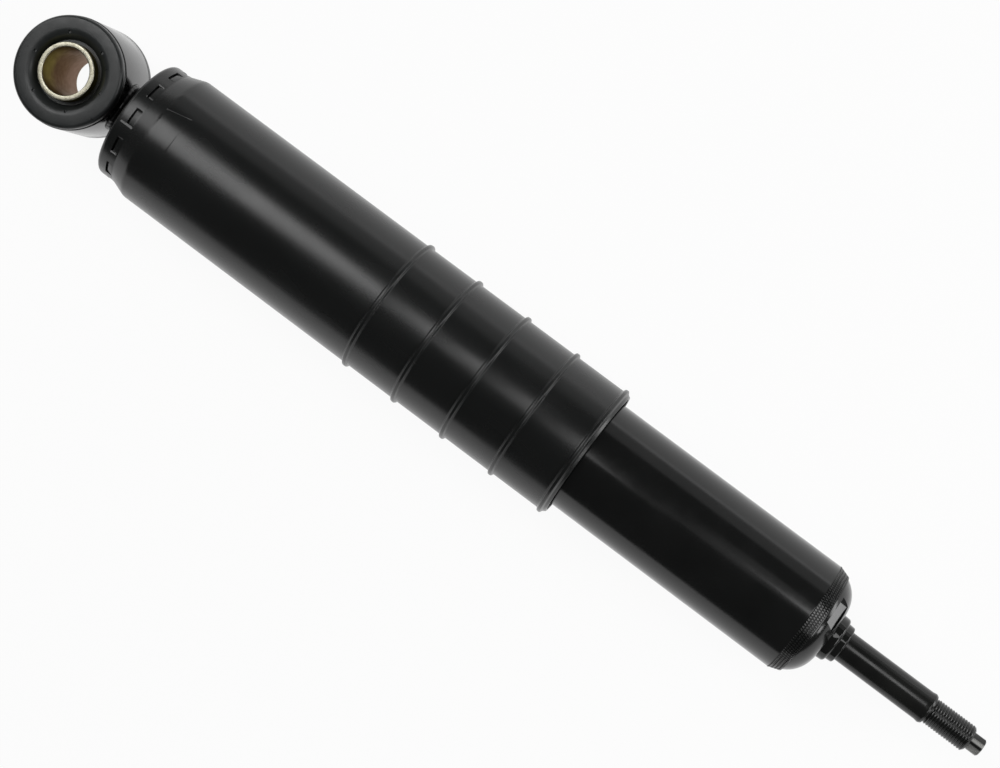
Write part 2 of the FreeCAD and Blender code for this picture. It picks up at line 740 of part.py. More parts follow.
NODES = {
    "eye_sleeve": eye_sleeve(),
    "eye_bush": eye_bush(),
    "eye_ring": eye_ring(),
    "cover_plate": cover_plate(),
    "dust_cover": dust_cover(),
    "piston_rod": piston_rod(),
    "rebound_buffer": rebound_buffer(),
    "rebound_stop": rebound_stop(),
    "check_support": support_disc(x_support, spigot_bore_r),
    "piston_check_spring": check_spring(x_piston_hub),
    "piston_check_plate": check_plate(x_piston_hub),
    "piston": piston(),
    "piston_band": piston_band(),
    "rebound_discs": disc_pack(x_piston_end),
    "disc_support": disc_support(),
    "piston_nut": hex_nut(x_piston_nut, PISTON_NUT_HEIGHT),
    "reservoir_tube": reservoir_tube(),
    "working_cylinder": working_cylinder(),
    "seal_plate": seal_plate(),
    "rod_guide": rod_guide(),
    "guide_bush": guide_bush(),
    "guide_seal": guide_seal(),
    "rod_seal": rod_seal(),
    "garter_spring": garter_spring(),
    "base_valve_body": base_valve_body(),
    "base_valve_bolt": base_valve_bolt(),
    "base_check_spring": check_spring(x_base_hub),
    "base_check_plate": check_plate(x_base_hub),
    "compression_discs": disc_pack(x_base_under),
    "base_valve_nut": hex_nut(x_base_nut, BASE_NUT_HEIGHT),
    "bottom_cap": bottom_cap(),
    "mounting_pin": mounting_pin(),
}

os.makedirs("parts", exist_ok=True)
for name, shape in NODES.items():
    shape.exportStep(f"parts/{name}.step")
    print(f"{name}: {len(shape.Solids)} solids, {shape.Volume:.1f} mm3, valid {shape.isValid()}")
print(f"eye to pin shoulder {x_shoulder:.2f} mm, eye to pin end {x_pin_end:.2f} mm")
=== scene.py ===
"""Looks of a telescopic shock absorber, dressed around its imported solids.

Every length is in metres in the part's frame: the origin is the centre of the eye's bore, +Z runs along
that bore and +X along the damper, from the eye to the stem pin.
"""

import json
import logging
import math
from dataclasses import dataclass, field
from enum import Enum
from functools import cached_property
from typing import Callable, Sequence

import bmesh
import bpy
from mathutils import Matrix, Vector


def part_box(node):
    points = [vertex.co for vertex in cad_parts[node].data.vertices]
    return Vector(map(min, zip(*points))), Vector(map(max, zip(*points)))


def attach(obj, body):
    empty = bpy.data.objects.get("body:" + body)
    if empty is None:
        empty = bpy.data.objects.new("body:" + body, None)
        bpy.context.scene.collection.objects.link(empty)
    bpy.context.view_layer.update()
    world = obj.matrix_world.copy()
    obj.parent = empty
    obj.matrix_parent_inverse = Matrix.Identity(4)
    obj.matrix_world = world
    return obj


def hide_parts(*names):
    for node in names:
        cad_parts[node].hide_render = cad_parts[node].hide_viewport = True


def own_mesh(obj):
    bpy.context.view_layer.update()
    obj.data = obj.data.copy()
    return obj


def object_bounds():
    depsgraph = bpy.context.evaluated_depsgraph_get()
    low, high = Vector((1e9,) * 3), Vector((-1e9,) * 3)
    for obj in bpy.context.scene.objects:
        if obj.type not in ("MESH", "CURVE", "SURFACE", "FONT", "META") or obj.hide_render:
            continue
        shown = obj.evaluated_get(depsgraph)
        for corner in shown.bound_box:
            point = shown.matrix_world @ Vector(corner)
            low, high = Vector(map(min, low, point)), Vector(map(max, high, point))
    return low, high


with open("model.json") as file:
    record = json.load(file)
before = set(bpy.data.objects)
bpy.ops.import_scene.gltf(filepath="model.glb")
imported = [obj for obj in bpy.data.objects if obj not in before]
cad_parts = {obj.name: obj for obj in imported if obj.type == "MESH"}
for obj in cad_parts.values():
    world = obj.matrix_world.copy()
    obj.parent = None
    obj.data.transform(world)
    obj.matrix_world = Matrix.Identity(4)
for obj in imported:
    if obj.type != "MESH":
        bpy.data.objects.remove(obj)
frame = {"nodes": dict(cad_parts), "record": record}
CAD_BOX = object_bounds()

LOG = logging.getLogger("damper")
MM = 0.001
MERGE_DISTANCE = 1e-6
ANGLE_SLACK = 0.1
SHARP_DEGREES = 38.0
ROUND_STEPS = 6
ROUND_PROFILE = 0.5
FULL_TURN = 2 * math.pi
ORIGIN = (0.0, 0.0, 0.0)
WHOLE = (0.0, 1.0)
CLOUD_SPAN = (0.3, 0.7)
HAZE_FINENESS = 2.3
MIX_COLOURS = (6, 7)
MIX_RESULT = 2

Span = tuple[float, float]
Triple = tuple[float, float, float]
Colour = Triple
Socket = bpy.types.NodeSocket
Piece = bpy.types.Object


class Spindle(Enum):
    """Axis that a piece is turned about."""

    DAMPER = (1.0, 0.0, 0.0)
    EYE = (0.0, 0.0, 1.0)

    def place(self, along: float, radius: float) -> Vector:
        """Point of an outline beside this axis.

        Args:
            along: Place along the axis.
            radius: Distance from the axis.

        Returns:
            The point.
        """
        if self is Spindle.EYE:
            return Vector((radius, 0.0, along))
        return Vector((along, 0.0, radius))


class Element(Enum):
    """Kind of mesh element that a selection is made of."""

    VERTS = "VERT"
    EDGES = "EDGE"
    FACES = "FACE"


class Joining(Enum):
    """Way in which a tool acts on a piece."""

    CUT = "DIFFERENCE"
    FUSE = "UNION"
    TRIM = "INTERSECT"


@dataclass(frozen=True)
class Corner:
    """Corner of a turned outline.

    Attributes:
        along: Place along the spindle.
        radius: Distance from the spindle.
        rounding: Radius of the round on the corner, or 0 for a sharp one.
    """

    along: float
    radius: float
    rounding: float = 0.0


@dataclass(frozen=True)
class Arc:
    """Arc of a turned outline, from the point before it.

    Attributes:
        along: Place of the arc's centre along the spindle.
        radius: Distance of the arc's centre from the spindle.
        degrees: Sweep about the centre, from the radius towards the spindle's positive end.
        steps: Number of straight steps in the arc.
    """

    along: float
    radius: float
    degrees: float
    steps: int = 16


Outline = Sequence[Corner | Arc]


def clear_selection() -> None:
    """Goes to object mode with nothing selected."""
    if bpy.context.object and bpy.context.object.mode != "OBJECT":
        bpy.ops.object.mode_set(mode="OBJECT")
    bpy.ops.object.select_all(action="DESELECT")


def activate(piece: Piece) -> None:
    """Makes a piece the only selected object, in object mode.

    Args:
        piece: Piece to select.
    """
    clear_selection()
    piece.select_set(True)
    bpy.context.view_layer.objects.active = piece


def edit(piece: Piece) -> None:
    """Opens a piece in edit mode."""
    activate(piece)
    bpy.ops.object.mode_set(mode="EDIT")


def opened(name: str) -> Piece:
    """Names the primitive that was just added and opens it, with its place in its mesh.

    Args:
        name: Name of the piece.

    Returns:
        The piece, in edit mode.
    """
    bpy.ops.object.transform_apply(location=True, rotation=True, scale=True)
    piece = bpy.context.object
    piece.name = name
    piece.data.name = name
    bpy.ops.object.mode_set(mode="EDIT")
    return piece


def pick(piece: Piece, kind: Element, test: Callable[..., bool]) -> None:
    """Selects the elements of an open mesh that pass a test.

    Args:
        piece: Piece in edit mode.
        kind: Kind of element.
        test: Says whether an element is selected.
    """
    bpy.ops.mesh.select_mode(type=kind.value)
    bpy.ops.mesh.select_all(action="DESELECT")
    sketch = bmesh.from_edit_mesh(piece.data)
    for element in getattr(sketch, kind.name.lower()):
        if test(element):
            element.select_set(True)
    sketch.select_flush_mode()
    bmesh.update_edit_mesh(piece.data)


def select_all() -> None:
    """Selects the whole of an open mesh."""
    bpy.ops.mesh.select_all(action="SELECT")


def shift(step: Sequence[float]) -> None:
    """Moves the selection of an open mesh."""
    bpy.ops.transform.translate(value=step)


def scale(factors: Sequence[float], centre: Sequence[float] = ORIGIN) -> None:
    """Scales the selection of an open mesh about a place."""
    bpy.ops.transform.resize(value=factors, center_override=centre)


def rotate(axis: str, angle: float) -> None:
    """Turns the selection of an open mesh about an axis of the frame, by a left-handed angle."""
    bpy.ops.transform.rotate(value=angle, orient_axis=axis, center_override=ORIGIN)


def extrude(step: Sequence[float]) -> None:
    """Extrudes the selection of an open mesh by a straight step."""
    bpy.ops.mesh.extrude_region_move(TRANSFORM_OT_translate={"value": step})


def copy_round(spindle: Spindle, count: int) -> None:
    """Copies the selection of an open mesh evenly round an axis, up to a count."""
    angle = FULL_TURN * (1 - 1 / count)
    bpy.ops.mesh.spin(steps=count - 1, dupli=True, angle=angle, center=ORIGIN, axis=spindle.value)


def slice_off(place: Sequence[float], normal: Sequence[float], inner: bool = False) -> None:
    """Cuts an open mesh along a plane, removes one side of it and closes the cut.

    Args:
        place: Point of the plane.
        normal: Direction that the plane faces.
        inner: Whether the side behind the plane is removed, not the one before it.
    """
    select_all()
    bpy.ops.mesh.bisect(
        plane_co=place, plane_no=normal, use_fill=True,
        clear_inner=inner, clear_outer=not inner, threshold=MERGE_DISTANCE,
    )


def single_vertex(name: str, place: Vector) -> Piece:
    """Starts a mesh as one selected vertex in edit mode.

    Args:
        name: Name of the piece.
        place: Place of the vertex.

    Returns:
        The new piece.
    """
    clear_selection()
    bpy.ops.mesh.primitive_plane_add(size=MM, location=place)
    piece = opened(name)
    bpy.ops.mesh.select_mode(type="VERT")
    bpy.ops.mesh.merge(type="CENTER")
    return piece


def selected_point(piece: Piece) -> Vector:
    """Place of the one selected vertex of an open mesh."""
    sketch = bmesh.from_edit_mesh(piece.data)
    return next(vertex.co.copy() for vertex in sketch.verts if vertex.select)


def round_corner(piece: Piece, place: Vector, radius: float) -> None:
    """Rounds the corner of an open outline with a vertex bevel.

    Args:
        piece: Piece in edit mode, still a bare outline.
        place: Place of the corner.
        radius: Radius of the round.
    """
    pick(piece, Element.VERTS, lambda vertex: (vertex.co - place).length < MERGE_DISTANCE)
    sketch = bmesh.from_edit_mesh(piece.data)
    vertex = next(each for each in sketch.verts if each.select)
    sides = [edge.other_vert(vertex).co - vertex.co for edge in vertex.link_edges]
    reach = radius / math.tan(sides[0].angle(sides[1]) / 2)
    bpy.ops.mesh.bevel(affect="VERTICES", offset=reach, segments=ROUND_STEPS, profile=ROUND_PROFILE)


def draw_outline(name: str, spindle: Spindle, outline: Outline) -> Piece:
    """Draws half the outline of a turned piece, and closes it unless both its ends lie on the spindle.

    Args:
        name: Name of the piece.
        spindle: Axis beside which the outline lies.
        outline: Corners and arcs in order, the first one a corner.

    Returns:
        The piece in edit mode, with its outline rounded and selected.
    """
    first, last = outline[0], outline[-1]
    start = spindle.place(first.along, first.radius)
    piece = single_vertex(name, start)
    here = start
    rounds = [(start, first.rounding)]
    for step in outline[1:]:
        place = spindle.place(step.along, step.radius)
        if isinstance(step, Arc):
            angle = -math.radians(step.degrees)
            bpy.ops.mesh.spin(steps=step.steps, angle=angle, center=place, axis=(0.0, 1.0, 0.0))
            here = selected_point(piece)
        else:
            extrude(place - here)
            here = place
            rounds.append((place, step.rounding))
    if first.radius > 0 or isinstance(last, Corner) and last.radius > 0:

        def at_end(vertex: bmesh.types.BMVert) -> bool:
            """Whether a vertex is an end of the outline."""
            return min((vertex.co - end).length for end in (start, here)) < MERGE_DISTANCE

        pick(piece, Element.VERTS, at_end)
        bpy.ops.mesh.edge_face_add()
    for place, radius in rounds:
        if radius > 0:
            round_corner(piece, place, radius)
    bpy.ops.mesh.select_mode(type="VERT")
    select_all()
    return piece


def tidy_mesh() -> None:
    """Merges the doubles of an open mesh and turns its faces outwards."""
    select_all()
    bpy.ops.mesh.remove_doubles(threshold=MERGE_DISTANCE)
    bpy.ops.mesh.normals_make_consistent(inside=False)


def turned(name: str, spindle: Spindle, outline: Outline, steps: int = 192) -> Piece:
    """Turns a piece on a lathe.

    Args:
        name: Name of the piece.
        spindle: Axis that the outline is spun about.
        outline: Corners and arcs of half its section.
        steps: Number of steps in the full turn.

    Returns:
        The closed piece, in edit mode.
    """
    piece = draw_outline(name, spindle, outline)
    bpy.ops.mesh.spin(steps=steps, angle=FULL_TURN, center=ORIGIN, axis=spindle.value)
    tidy_mesh()
    return piece


def hoop(span: Span, bore: float, outer: float, rounding: float) -> Outline:
    """Outline of a plain hoop with rounded edges.

    Args:
        span: Its two ends along the spindle.
        bore: Its inner radius.
        outer: Its outer radius.
        rounding: Round on its edges.

    Returns:
        Its four corners.
    """
    start, end = span
    places = ((start, bore), (start, outer), (end, outer), (end, bore))
    return [Corner(along, radius, rounding) for along, radius in places]


def block(name: str, outline: Outline, width: float) -> Piece:
    """Makes a block of one width, with its middle beside the damper's axis.

    Args:
        name: Name of the block.
        outline: Corners of its side.
        width: Width across the damper.

    Returns:
        The block, in edit mode and selected.
    """
    piece = draw_outline(name, Spindle.DAMPER, outline)
    bpy.ops.mesh.edge_face_add()
    shift((0.0, -width / 2, 0.0))
    extrude((0.0, width, 0.0))
    tidy_mesh()
    return piece


def combine(piece: Piece, tool: Piece, joining: Joining) -> None:
    """Applies a boolean of a tool to a piece and removes the tool.

    Args:
        piece: Piece that is changed.
        tool: Closed mesh.
        joining: Way in which the tool acts.
    """
    activate(piece)
    modifier = piece.modifiers.new("combine", "BOOLEAN")
    modifier.operation = joining.value
    modifier.solver = "EXACT"
    modifier.object = tool
    bpy.ops.object.modifier_apply(modifier=modifier.name)
    bpy.data.objects.remove(tool)


def angle_about_damper(place: Vector) -> float:
    """Angle about the damper's axis in degrees, from +Z towards -Y."""
    return math.degrees(math.atan2(-place.y, place.z))


def radius_about_damper(place: Vector) -> float:
    """Distance from the damper's axis."""
    return math.hypot(place.y, place.z)


@dataclass(frozen=True)
class Cloud:
    """Cells of a cloudy pattern.

    Attributes:
        cells: Cells in a metre.
        detail: Octaves of finer cells.
        stretch: Factor on the cells along X, Y and Z.
    """

    cells: float
    detail: float
    stretch: Triple = (1.0, 1.0, 1.0)


class Shader:
    """Node tree of one material, fed by the piece's own Object coordinates."""

    def __init__(self, name: str) -> None:
        """Starts a material with a bare Principled surface.

        Args:
            name: Name of the material.
        """
        self.material = bpy.data.materials.new(name)
        self.material.use_nodes = True
        self.tree = self.material.node_tree
        self.surface = self.tree.nodes["Principled BSDF"]

    @cached_property
    def place(self) -> Socket:
        """Object coordinates of the piece."""
        return self.node("ShaderNodeTexCoord").outputs["Object"]

    def node(self, kind: str, **settings: object) -> bpy.types.Node:
        """Adds a node and sets its attributes.

        Args:
            kind: Type of the node.
            settings: Attributes and their values.

        Returns:
            The node.
        """
        made = self.tree.nodes.new(kind)
        for key, value in settings.items():
            setattr(made, key, value)
        return made

    def join(self, source: object, target: Socket) -> None:
        """Joins an output to an input, or sets the input.

        Args:
            source: Output, number or colour.
            target: Input.
        """
        if isinstance(source, Socket):
            self.tree.links.new(source, target)
        elif isinstance(source, tuple):
            target.default_value = (*source, 1.0)
        else:
            target.default_value = source

    def feed(self, name: str, source: object) -> None:
        """Joins an output, number or colour to an input of the surface."""
        self.join(source, self.surface.inputs[name])

    def fed(self, name: str) -> Socket:
        """Output that an input of the surface is joined to."""
        return self.surface.inputs[name].links[0].from_socket

    def axis(self, name: str) -> Socket:
        """One Object coordinate.

        Args:
            name: X, Y or Z.

        Returns:
            The coordinate in metres.
        """
        split = self.node("ShaderNodeSeparateXYZ")
        self.join(self.place, split.inputs["Vector"])
        return split.outputs[name]

    def noise(self, cloud: Cloud) -> Socket:
        """Cloudy value over the piece.

        Args:
            cloud: Cells of the pattern.

        Returns:
            Value from about 0.2 to 0.8.
        """
        mapping = self.node("ShaderNodeMapping")
        mapping.inputs["Scale"].default_value = cloud.stretch
        self.join(self.place, mapping.inputs["Vector"])
        texture = self.node("ShaderNodeTexNoise")
        self.join(cloud.cells, texture.inputs["Scale"])
        self.join(cloud.detail, texture.inputs["Detail"])
        self.join(mapping.outputs["Vector"], texture.inputs["Vector"])
        return texture.outputs["Fac"]

    def remap(self, source: Socket, span: Span, to: Span) -> Socket:
        """Maps a span of a value to another span, clamped.

        Args:
            source: Value.
            span: Span of the value.
            to: Span that it is mapped to.

        Returns:
            The mapped value.
        """
        ranged = self.node("ShaderNodeMapRange")
        self.join(source, ranged.inputs["Value"])
        for name, value in zip(("From Min", "From Max", "To Min", "To Max"), (*span, *to)):
            self.join(value, ranged.inputs[name])
        return ranged.outputs["Result"]

    def calculate(self, operation: str, *sources: object) -> Socket:
        """Result of a sum.

        Args:
            operation: Operation of the Math node.
            sources: Outputs and numbers, in the order of the node's inputs.

        Returns:
            The result.
        """
        made = self.node("ShaderNodeMath", operation=operation)
        for source, target in zip(sources, made.inputs):
            self.join(source, target)
        return made.outputs[0]

    def blend(self, factor: Socket, low: object, high: object) -> Socket:
        """Colour between two colours, by a factor.

        Args:
            factor: Share of the second colour.
            low: First colour or colour output.
            high: Second colour or colour output.

        Returns:
            The blended colour.
        """
        mix = self.node("ShaderNodeMix", data_type="RGBA")
        self.join(factor, mix.inputs["Factor"])
        for index, source in zip(MIX_COLOURS, (low, high)):
            self.join(source, mix.inputs[index])
        return mix.outputs[MIX_RESULT]

    def relief(self, height: Socket, depth: float) -> None:
        """Raises the surface by a height value, over any relief that is already there.

        Args:
            height: Height from 0 to 1.
            depth: Metres between a height of 0 and of 1.
        """
        bump = self.node("ShaderNodeBump")
        bump.inputs["Strength"].default_value = 1.0
        self.join(depth, bump.inputs["Distance"])
        self.join(height, bump.inputs["Height"])
        if self.surface.inputs["Normal"].links:
            self.join(self.fed("Normal"), bump.inputs["Normal"])
        self.feed("Normal", bump.outputs["Normal"])


@dataclass(frozen=True)
class Finish:
    """Finish of a surface, made into a material once.

    Attributes:
        name: Name of the material.
        dark: Colour of its darker patches.
        light: Colour of its lighter patches.
        rough: Lowest and highest roughness.
        slot: Slot of the record, where it isn't named like the material; not used.
        patches: Cells of its patches.
    """

    name: str
    dark: Colour
    light: Colour
    rough: Span
    slot: str = field(default="", kw_only=True)
    patches: Cloud = field(kw_only=True)

    def material(self) -> bpy.types.Material:
        """Makes the material of this finish, or takes it if it is there.

        Returns:
            The material.
        """
        title = f"{self.name}_finish"
        made = bpy.data.materials.get(title)
        if made:
            return made
        shader = Shader(title)
        self.dress(shader)
        return shader.material

    def dress(self, shader: Shader) -> None:
        """Builds the nodes."""
        raise NotImplementedError

    def mottle(self, shader: Shader) -> None:
        """Varies the colour and the roughness in patches.

        Args:
            shader: Shader of the material.
        """
        tone = shader.remap(shader.noise(self.patches), CLOUD_SPAN, WHOLE)
        shader.feed("Base Color", shader.blend(tone, self.dark, self.light))
        haze = Cloud(self.patches.cells * HAZE_FINENESS, self.patches.detail + 1, self.patches.stretch)
        shader.feed("Roughness", shader.remap(shader.noise(haze), CLOUD_SPAN, self.rough))


@dataclass(frozen=True)
class Paint(Finish):
    """Sprayed enamel with orange peel and fine scuffs.

    Attributes:
        peel: Depth of the orange peel.
        gloss: Level of the mirror reflection.
        peel_cloud: Cells of the orange peel.
        scuff_cloud: Cells that the scuffs are cut from.
        scuff_span: Part of those cells' values in which a scuff rises.
    """

    patches: Cloud = field(default=Cloud(45.0, 4.0), kw_only=True)
    peel: float = 4e-6
    gloss: float = 0.5
    peel_cloud: Cloud = Cloud(700.0, 1.0)
    scuff_cloud: Cloud = Cloud(160.0, 6.0, (0.12, 1.0, 1.0))
    scuff_span: Span = (0.62, 0.8)

    def dress(self, shader: Shader) -> None:
        """Builds the nodes.

        Args:
            shader: Shader of the material.
        """
        self.mottle(shader)
        shader.feed("Specular IOR Level", self.gloss)
        shader.relief(shader.noise(self.peel_cloud), self.peel)
        scuffs = shader.remap(shader.noise(self.scuff_cloud), self.scuff_span, WHOLE)
        shader.relief(scuffs, self.peel * 2)


@dataclass(frozen=True)
class Moulding(Finish):
    """Injection-moulded plastic with a fine grain and faint drag lines along the mould.

    Attributes:
        grain: Depth of the grain and of the lines.
        grain_cloud: Cells of the grain.
        drag_cloud: Cells of the lines.
    """

    patches: Cloud = field(default=Cloud(28.0, 4.0, (0.35, 1.0, 1.0)), kw_only=True)
    grain: float = 3e-6
    grain_cloud: Cloud = Cloud(1600.0, 2.0)
    drag_cloud: Cloud = Cloud(420.0, 3.0, (0.02, 1.0, 1.0))

    def dress(self, shader: Shader) -> None:
        """Builds the nodes.

        Args:
            shader: Shader of the material.
        """
        self.mottle(shader)
        shader.relief(shader.noise(self.grain_cloud), self.grain)
        shader.relief(shader.noise(self.drag_cloud), self.grain)


@dataclass(frozen=True)
class Rubber(Finish):
    """Moulded rubber with a dry bloom.

    Attributes:
        grain: Depth of the grain.
        gloss: Level of the mirror reflection.
        grain_cloud: Cells of the grain.
    """

    patches: Cloud = field(default=Cloud(90.0, 4.0), kw_only=True)
    grain: float = 12e-6
    gloss: float = 0.35
    grain_cloud: Cloud = Cloud(1100.0, 4.0)

    def dress(self, shader: Shader) -> None:
        """Builds the nodes.

        Args:
            shader: Shader of the material.
        """
        self.mottle(shader)
        shader.feed("Specular IOR Level", self.gloss)
        shader.relief(shader.noise(self.grain_cloud), self.grain)


@dataclass(frozen=True)
class Metal(Finish):
    """Bare metal with turning marks round the damper.

    Attributes:
        marks: Depth of the marks.
        mark_cloud: Cells of the marks.
    """

    patches: Cloud = field(default=Cloud(120.0, 4.0), kw_only=True)
    marks: float = 3e-6
    mark_cloud: Cloud = Cloud(1500.0, 2.0, (1.0, 0.03, 0.03))

    def dress(self, shader: Shader) -> None:
        """Builds the nodes.

        Args:
            shader: Shader of the material.
        """
        self.mottle(shader)
        shader.feed("Metallic", 1.0)
        shader.relief(shader.noise(self.mark_cloud), self.marks)


@dataclass(frozen=True)
class Chromate(Finish):
    """Zinc plate whose yellow chromate shifts from olive through brown to pink down the bore.

    Attributes:
        olive: Tint near the upper end.
        brown: Tint at mid-height.
        pink: Tint near the lower end.
        graze: Tint at a grazing angle.
        drift: How far the clouds move the tints along the bore.
        olive_span: Heights between which brown turns to olive.
        brown_span: Heights between which pink turns to brown.
        rim: Height beyond which the faced end is pale.
        rim_fade: Height over which it turns pale.
        grit_cloud: Cells of the faced end.
        grit_span: Part of those cells' values in which its colour changes.
        haze_cloud: Cells of the roughness.
        draw_cloud: Cells of the drawing marks along the bore.
        draw_depth: Depth of the drawing marks.
    """

    patches: Cloud = field(default=Cloud(160.0, 3.0), kw_only=True)
    olive: Colour = (0.20, 0.18, 0.05)
    brown: Colour = (0.078, 0.050, 0.032)
    pink: Colour = (0.19, 0.13, 0.105)
    graze: Colour = (0.62, 0.54, 0.48)
    drift: float = 0.012
    olive_span: Span = (0.014, 0.026)
    brown_span: Span = (-0.014, 0.002)
    rim: float = 0.0268
    rim_fade: float = 0.0004
    grit_cloud: Cloud = Cloud(900.0, 5.0)
    grit_span: Span = (0.35, 0.65)
    haze_cloud: Cloud = Cloud(400.0, 4.0)
    draw_cloud: Cloud = Cloud(1400.0, 3.0, (1.0, 1.0, 0.15))
    draw_depth: float = 5e-6

    def dress(self, shader: Shader) -> None:
        """Builds the nodes.

        Args:
            shader: Shader of the material.
        """
        height = shader.axis("Z")
        drifted = shader.calculate("MULTIPLY_ADD", shader.noise(self.patches), self.drift, height)
        upper = shader.remap(drifted, self.olive_span, WHOLE)
        above = shader.remap(drifted, self.brown_span, WHOLE)
        tint = shader.blend(above, self.pink, shader.blend(upper, self.brown, self.olive))
        shader.feed("Specular Tint", self.graze)
        end = shader.calculate("ABSOLUTE", height)
        faced = shader.remap(end, (self.rim - self.rim_fade, self.rim), WHOLE)
        grit = shader.remap(shader.noise(self.grit_cloud), self.grit_span, WHOLE)
        shader.feed("Base Color", shader.blend(faced, tint, shader.blend(grit, self.dark, self.light)))
        shader.feed("Metallic", 1.0)
        shader.feed("Roughness", shader.remap(shader.noise(self.haze_cloud), CLOUD_SPAN, self.rough))
        shader.relief(shader.noise(self.draw_cloud), self.draw_depth)


@dataclass(frozen=True)
class RodSurface(Finish):
    """Hard chrome that is painted over at the rod's head.

    Attributes:
        paint: Colour of the painted head.
        edge: Place along the damper where the paint ends.
        grain: Depth of the grain.
        grain_cloud: Cells of the grain.
    """

    patches: Cloud = field(default=Cloud(200.0, 3.0), kw_only=True)
    paint: Colour = (0.006, 0.006, 0.006)
    edge: float = 0.055
    grain: float = 3e-6
    grain_cloud: Cloud = Cloud(900.0, 2.0)

    def dress(self, shader: Shader) -> None:
        """Builds the nodes.

        Args:
            shader: Shader of the material.
        """
        sleek, dull = self.rough
        bare = shader.remap(shader.axis("X"), (self.edge, self.edge + MM), WHOLE)
        chrome = shader.blend(shader.noise(self.patches), self.dark, self.light)
        shader.feed("Base Color", shader.blend(bare, self.paint, chrome))
        shader.feed("Metallic", bare)
        shader.feed("Roughness", shader.remap(bare, WHOLE, (dull, sleek)))
        shader.relief(shader.noise(self.grain_cloud), self.grain)


@dataclass(frozen=True)
class TubePaint(Paint):
    """Paint whose mirror reflection is turned down over the tube's knurl, as painted shade in the grooves
    between the lands.

    Attributes:
        grooves: Start and end of the knurl along the damper.
        groove_shade_gloss: Level of the mirror reflection in the grooves, turned down as painted shade.
        fade: Length over which the gloss changes.
    """

    grooves: Span = (0.4478, 0.4541)
    groove_shade_gloss: float = 0.12
    fade: float = 0.0003

    def dress(self, shader: Shader) -> None:
        """Builds the nodes.

        Args:
            shader: Shader of the material.
        """
        super().dress(shader)
        start, end = self.grooves
        along = shader.axis("X")
        # The reflection is turned down between the knurl's lands: painted shade in the grooves.
        before = shader.remap(along, (start - self.fade, start), (self.gloss, self.groove_shade_gloss))
        after = shader.remap(along, (end, end + self.fade), (self.groove_shade_gloss, self.gloss))
        shader.feed("Specular IOR Level", shader.calculate("MAXIMUM", before, after))


@dataclass(frozen=True)
class PinPaint(Paint):
    """Paint rubbed to bare steel on the tip's corner and one of its flats, which is wear and also a painted
    highlight: only the corner and the flat that catch the light are bare.

    Attributes:
        steel: Colour of the bare steel.
        metallic: How metallic the bare steel is.
        tip: Place along the damper beyond which the bare steel, wear and painted highlight, starts.
        corner: Reach of the bare corner, wear and painted highlight, on either side of its middle.
        middle: Distance of that middle from the damper's axis, along Y.
        flat: Distance from the damper's axis, along -Y, beyond which the flat is bare, as wear and painted
            highlight.
        shoulder: Place along the damper up to which the paint is thick and glossy.
        sleek: Roughness of the thick paint.
        scuffed: Roughness of the bare steel.
        fade: Length over which one look turns into the next, on either side of an edge.
    """

    steel: Colour = (0.30, 0.30, 0.29)
    metallic: float = 0.6
    tip: float = 0.5462
    corner: float = 0.0009
    middle: float = 0.0015
    flat: float = 0.0011
    shoulder: float = 0.4716
    sleek: float = 0.08
    scuffed: float = 0.45
    fade: float = 0.0003

    def dress(self, shader: Shader) -> None:
        """Builds the nodes.

        Args:
            shader: Shader of the material.
        """
        super().dress(shader)
        along = shader.axis("X")
        across = shader.axis("Y")
        distance = shader.calculate("ABSOLUTE", shader.calculate("SUBTRACT", across, self.middle))
        on_corner = shader.remap(distance, self.edge(self.corner), (1.0, 0.0))
        on_flat = shader.remap(across, self.edge(-self.flat), (1.0, 0.0))
        at_tip = shader.remap(along, (self.tip, self.tip + self.fade), WHOLE)
        # Bare steel only on the corner and the flat that catch the light: wear and painted highlight.
        wear_and_glint = shader.calculate("MULTIPLY", at_tip, shader.calculate("MAXIMUM", on_corner, on_flat))
        shader.feed("Base Color", shader.blend(wear_and_glint, shader.fed("Base Color"), self.steel))
        shader.feed("Metallic", shader.remap(wear_and_glint, WHOLE, (0.0, self.metallic)))
        beyond = shader.remap(along, self.edge(self.shoulder), WHOLE)
        scuffed = shader.blend(wear_and_glint, shader.fed("Roughness"), (self.scuffed,) * 3)
        shader.feed("Roughness", shader.blend(beyond, (self.sleek,) * 3, scuffed))

    def edge(self, place: float) -> Span:
        """Start and end of the change at an edge."""
        return place - self.fade, place + self.fade


RING_PAINT = Paint("ring_paint", (0.004, 0.004, 0.004), (0.007, 0.007, 0.007), (0.10, 0.18))
PLATE_PAINT = Paint("plate_paint", (0.005, 0.005, 0.005), (0.010, 0.010, 0.010), (0.22, 0.34), peel=8e-6)
TUBE_PAINT = TubePaint("tube_paint", (0.0042, 0.0046, 0.0044), (0.0068, 0.0072, 0.007), (0.13, 0.19))
KNURL_PAINT = Paint(
    "knurl_paint", (0.006, 0.0064, 0.0062), (0.012, 0.0126, 0.012), (0.16, 0.24), slot="tube_paint"
)
PIN_PAINT = PinPaint(
    "pin_paint", (0.006, 0.0064, 0.006), (0.012, 0.0124, 0.0115), (0.16, 0.26), peel=8e-6, gloss=0.42
)
COVER_PLASTIC = Moulding("cover_plastic", (0.0056, 0.0062, 0.006), (0.0085, 0.0092, 0.009), (0.22, 0.30))
BUSH_RUBBER = Rubber("bush_rubber", (0.013, 0.015, 0.015), (0.023, 0.025, 0.025), (0.27, 0.38), gloss=0.45)
SEAL_RUBBER = Rubber("seal_rubber", (0.010, 0.010, 0.010), (0.02, 0.02, 0.02), (0.40, 0.55))
ZINC = Chromate("zinc_yellow", (0.38, 0.36, 0.27), (0.50, 0.48, 0.39), (0.28, 0.40))
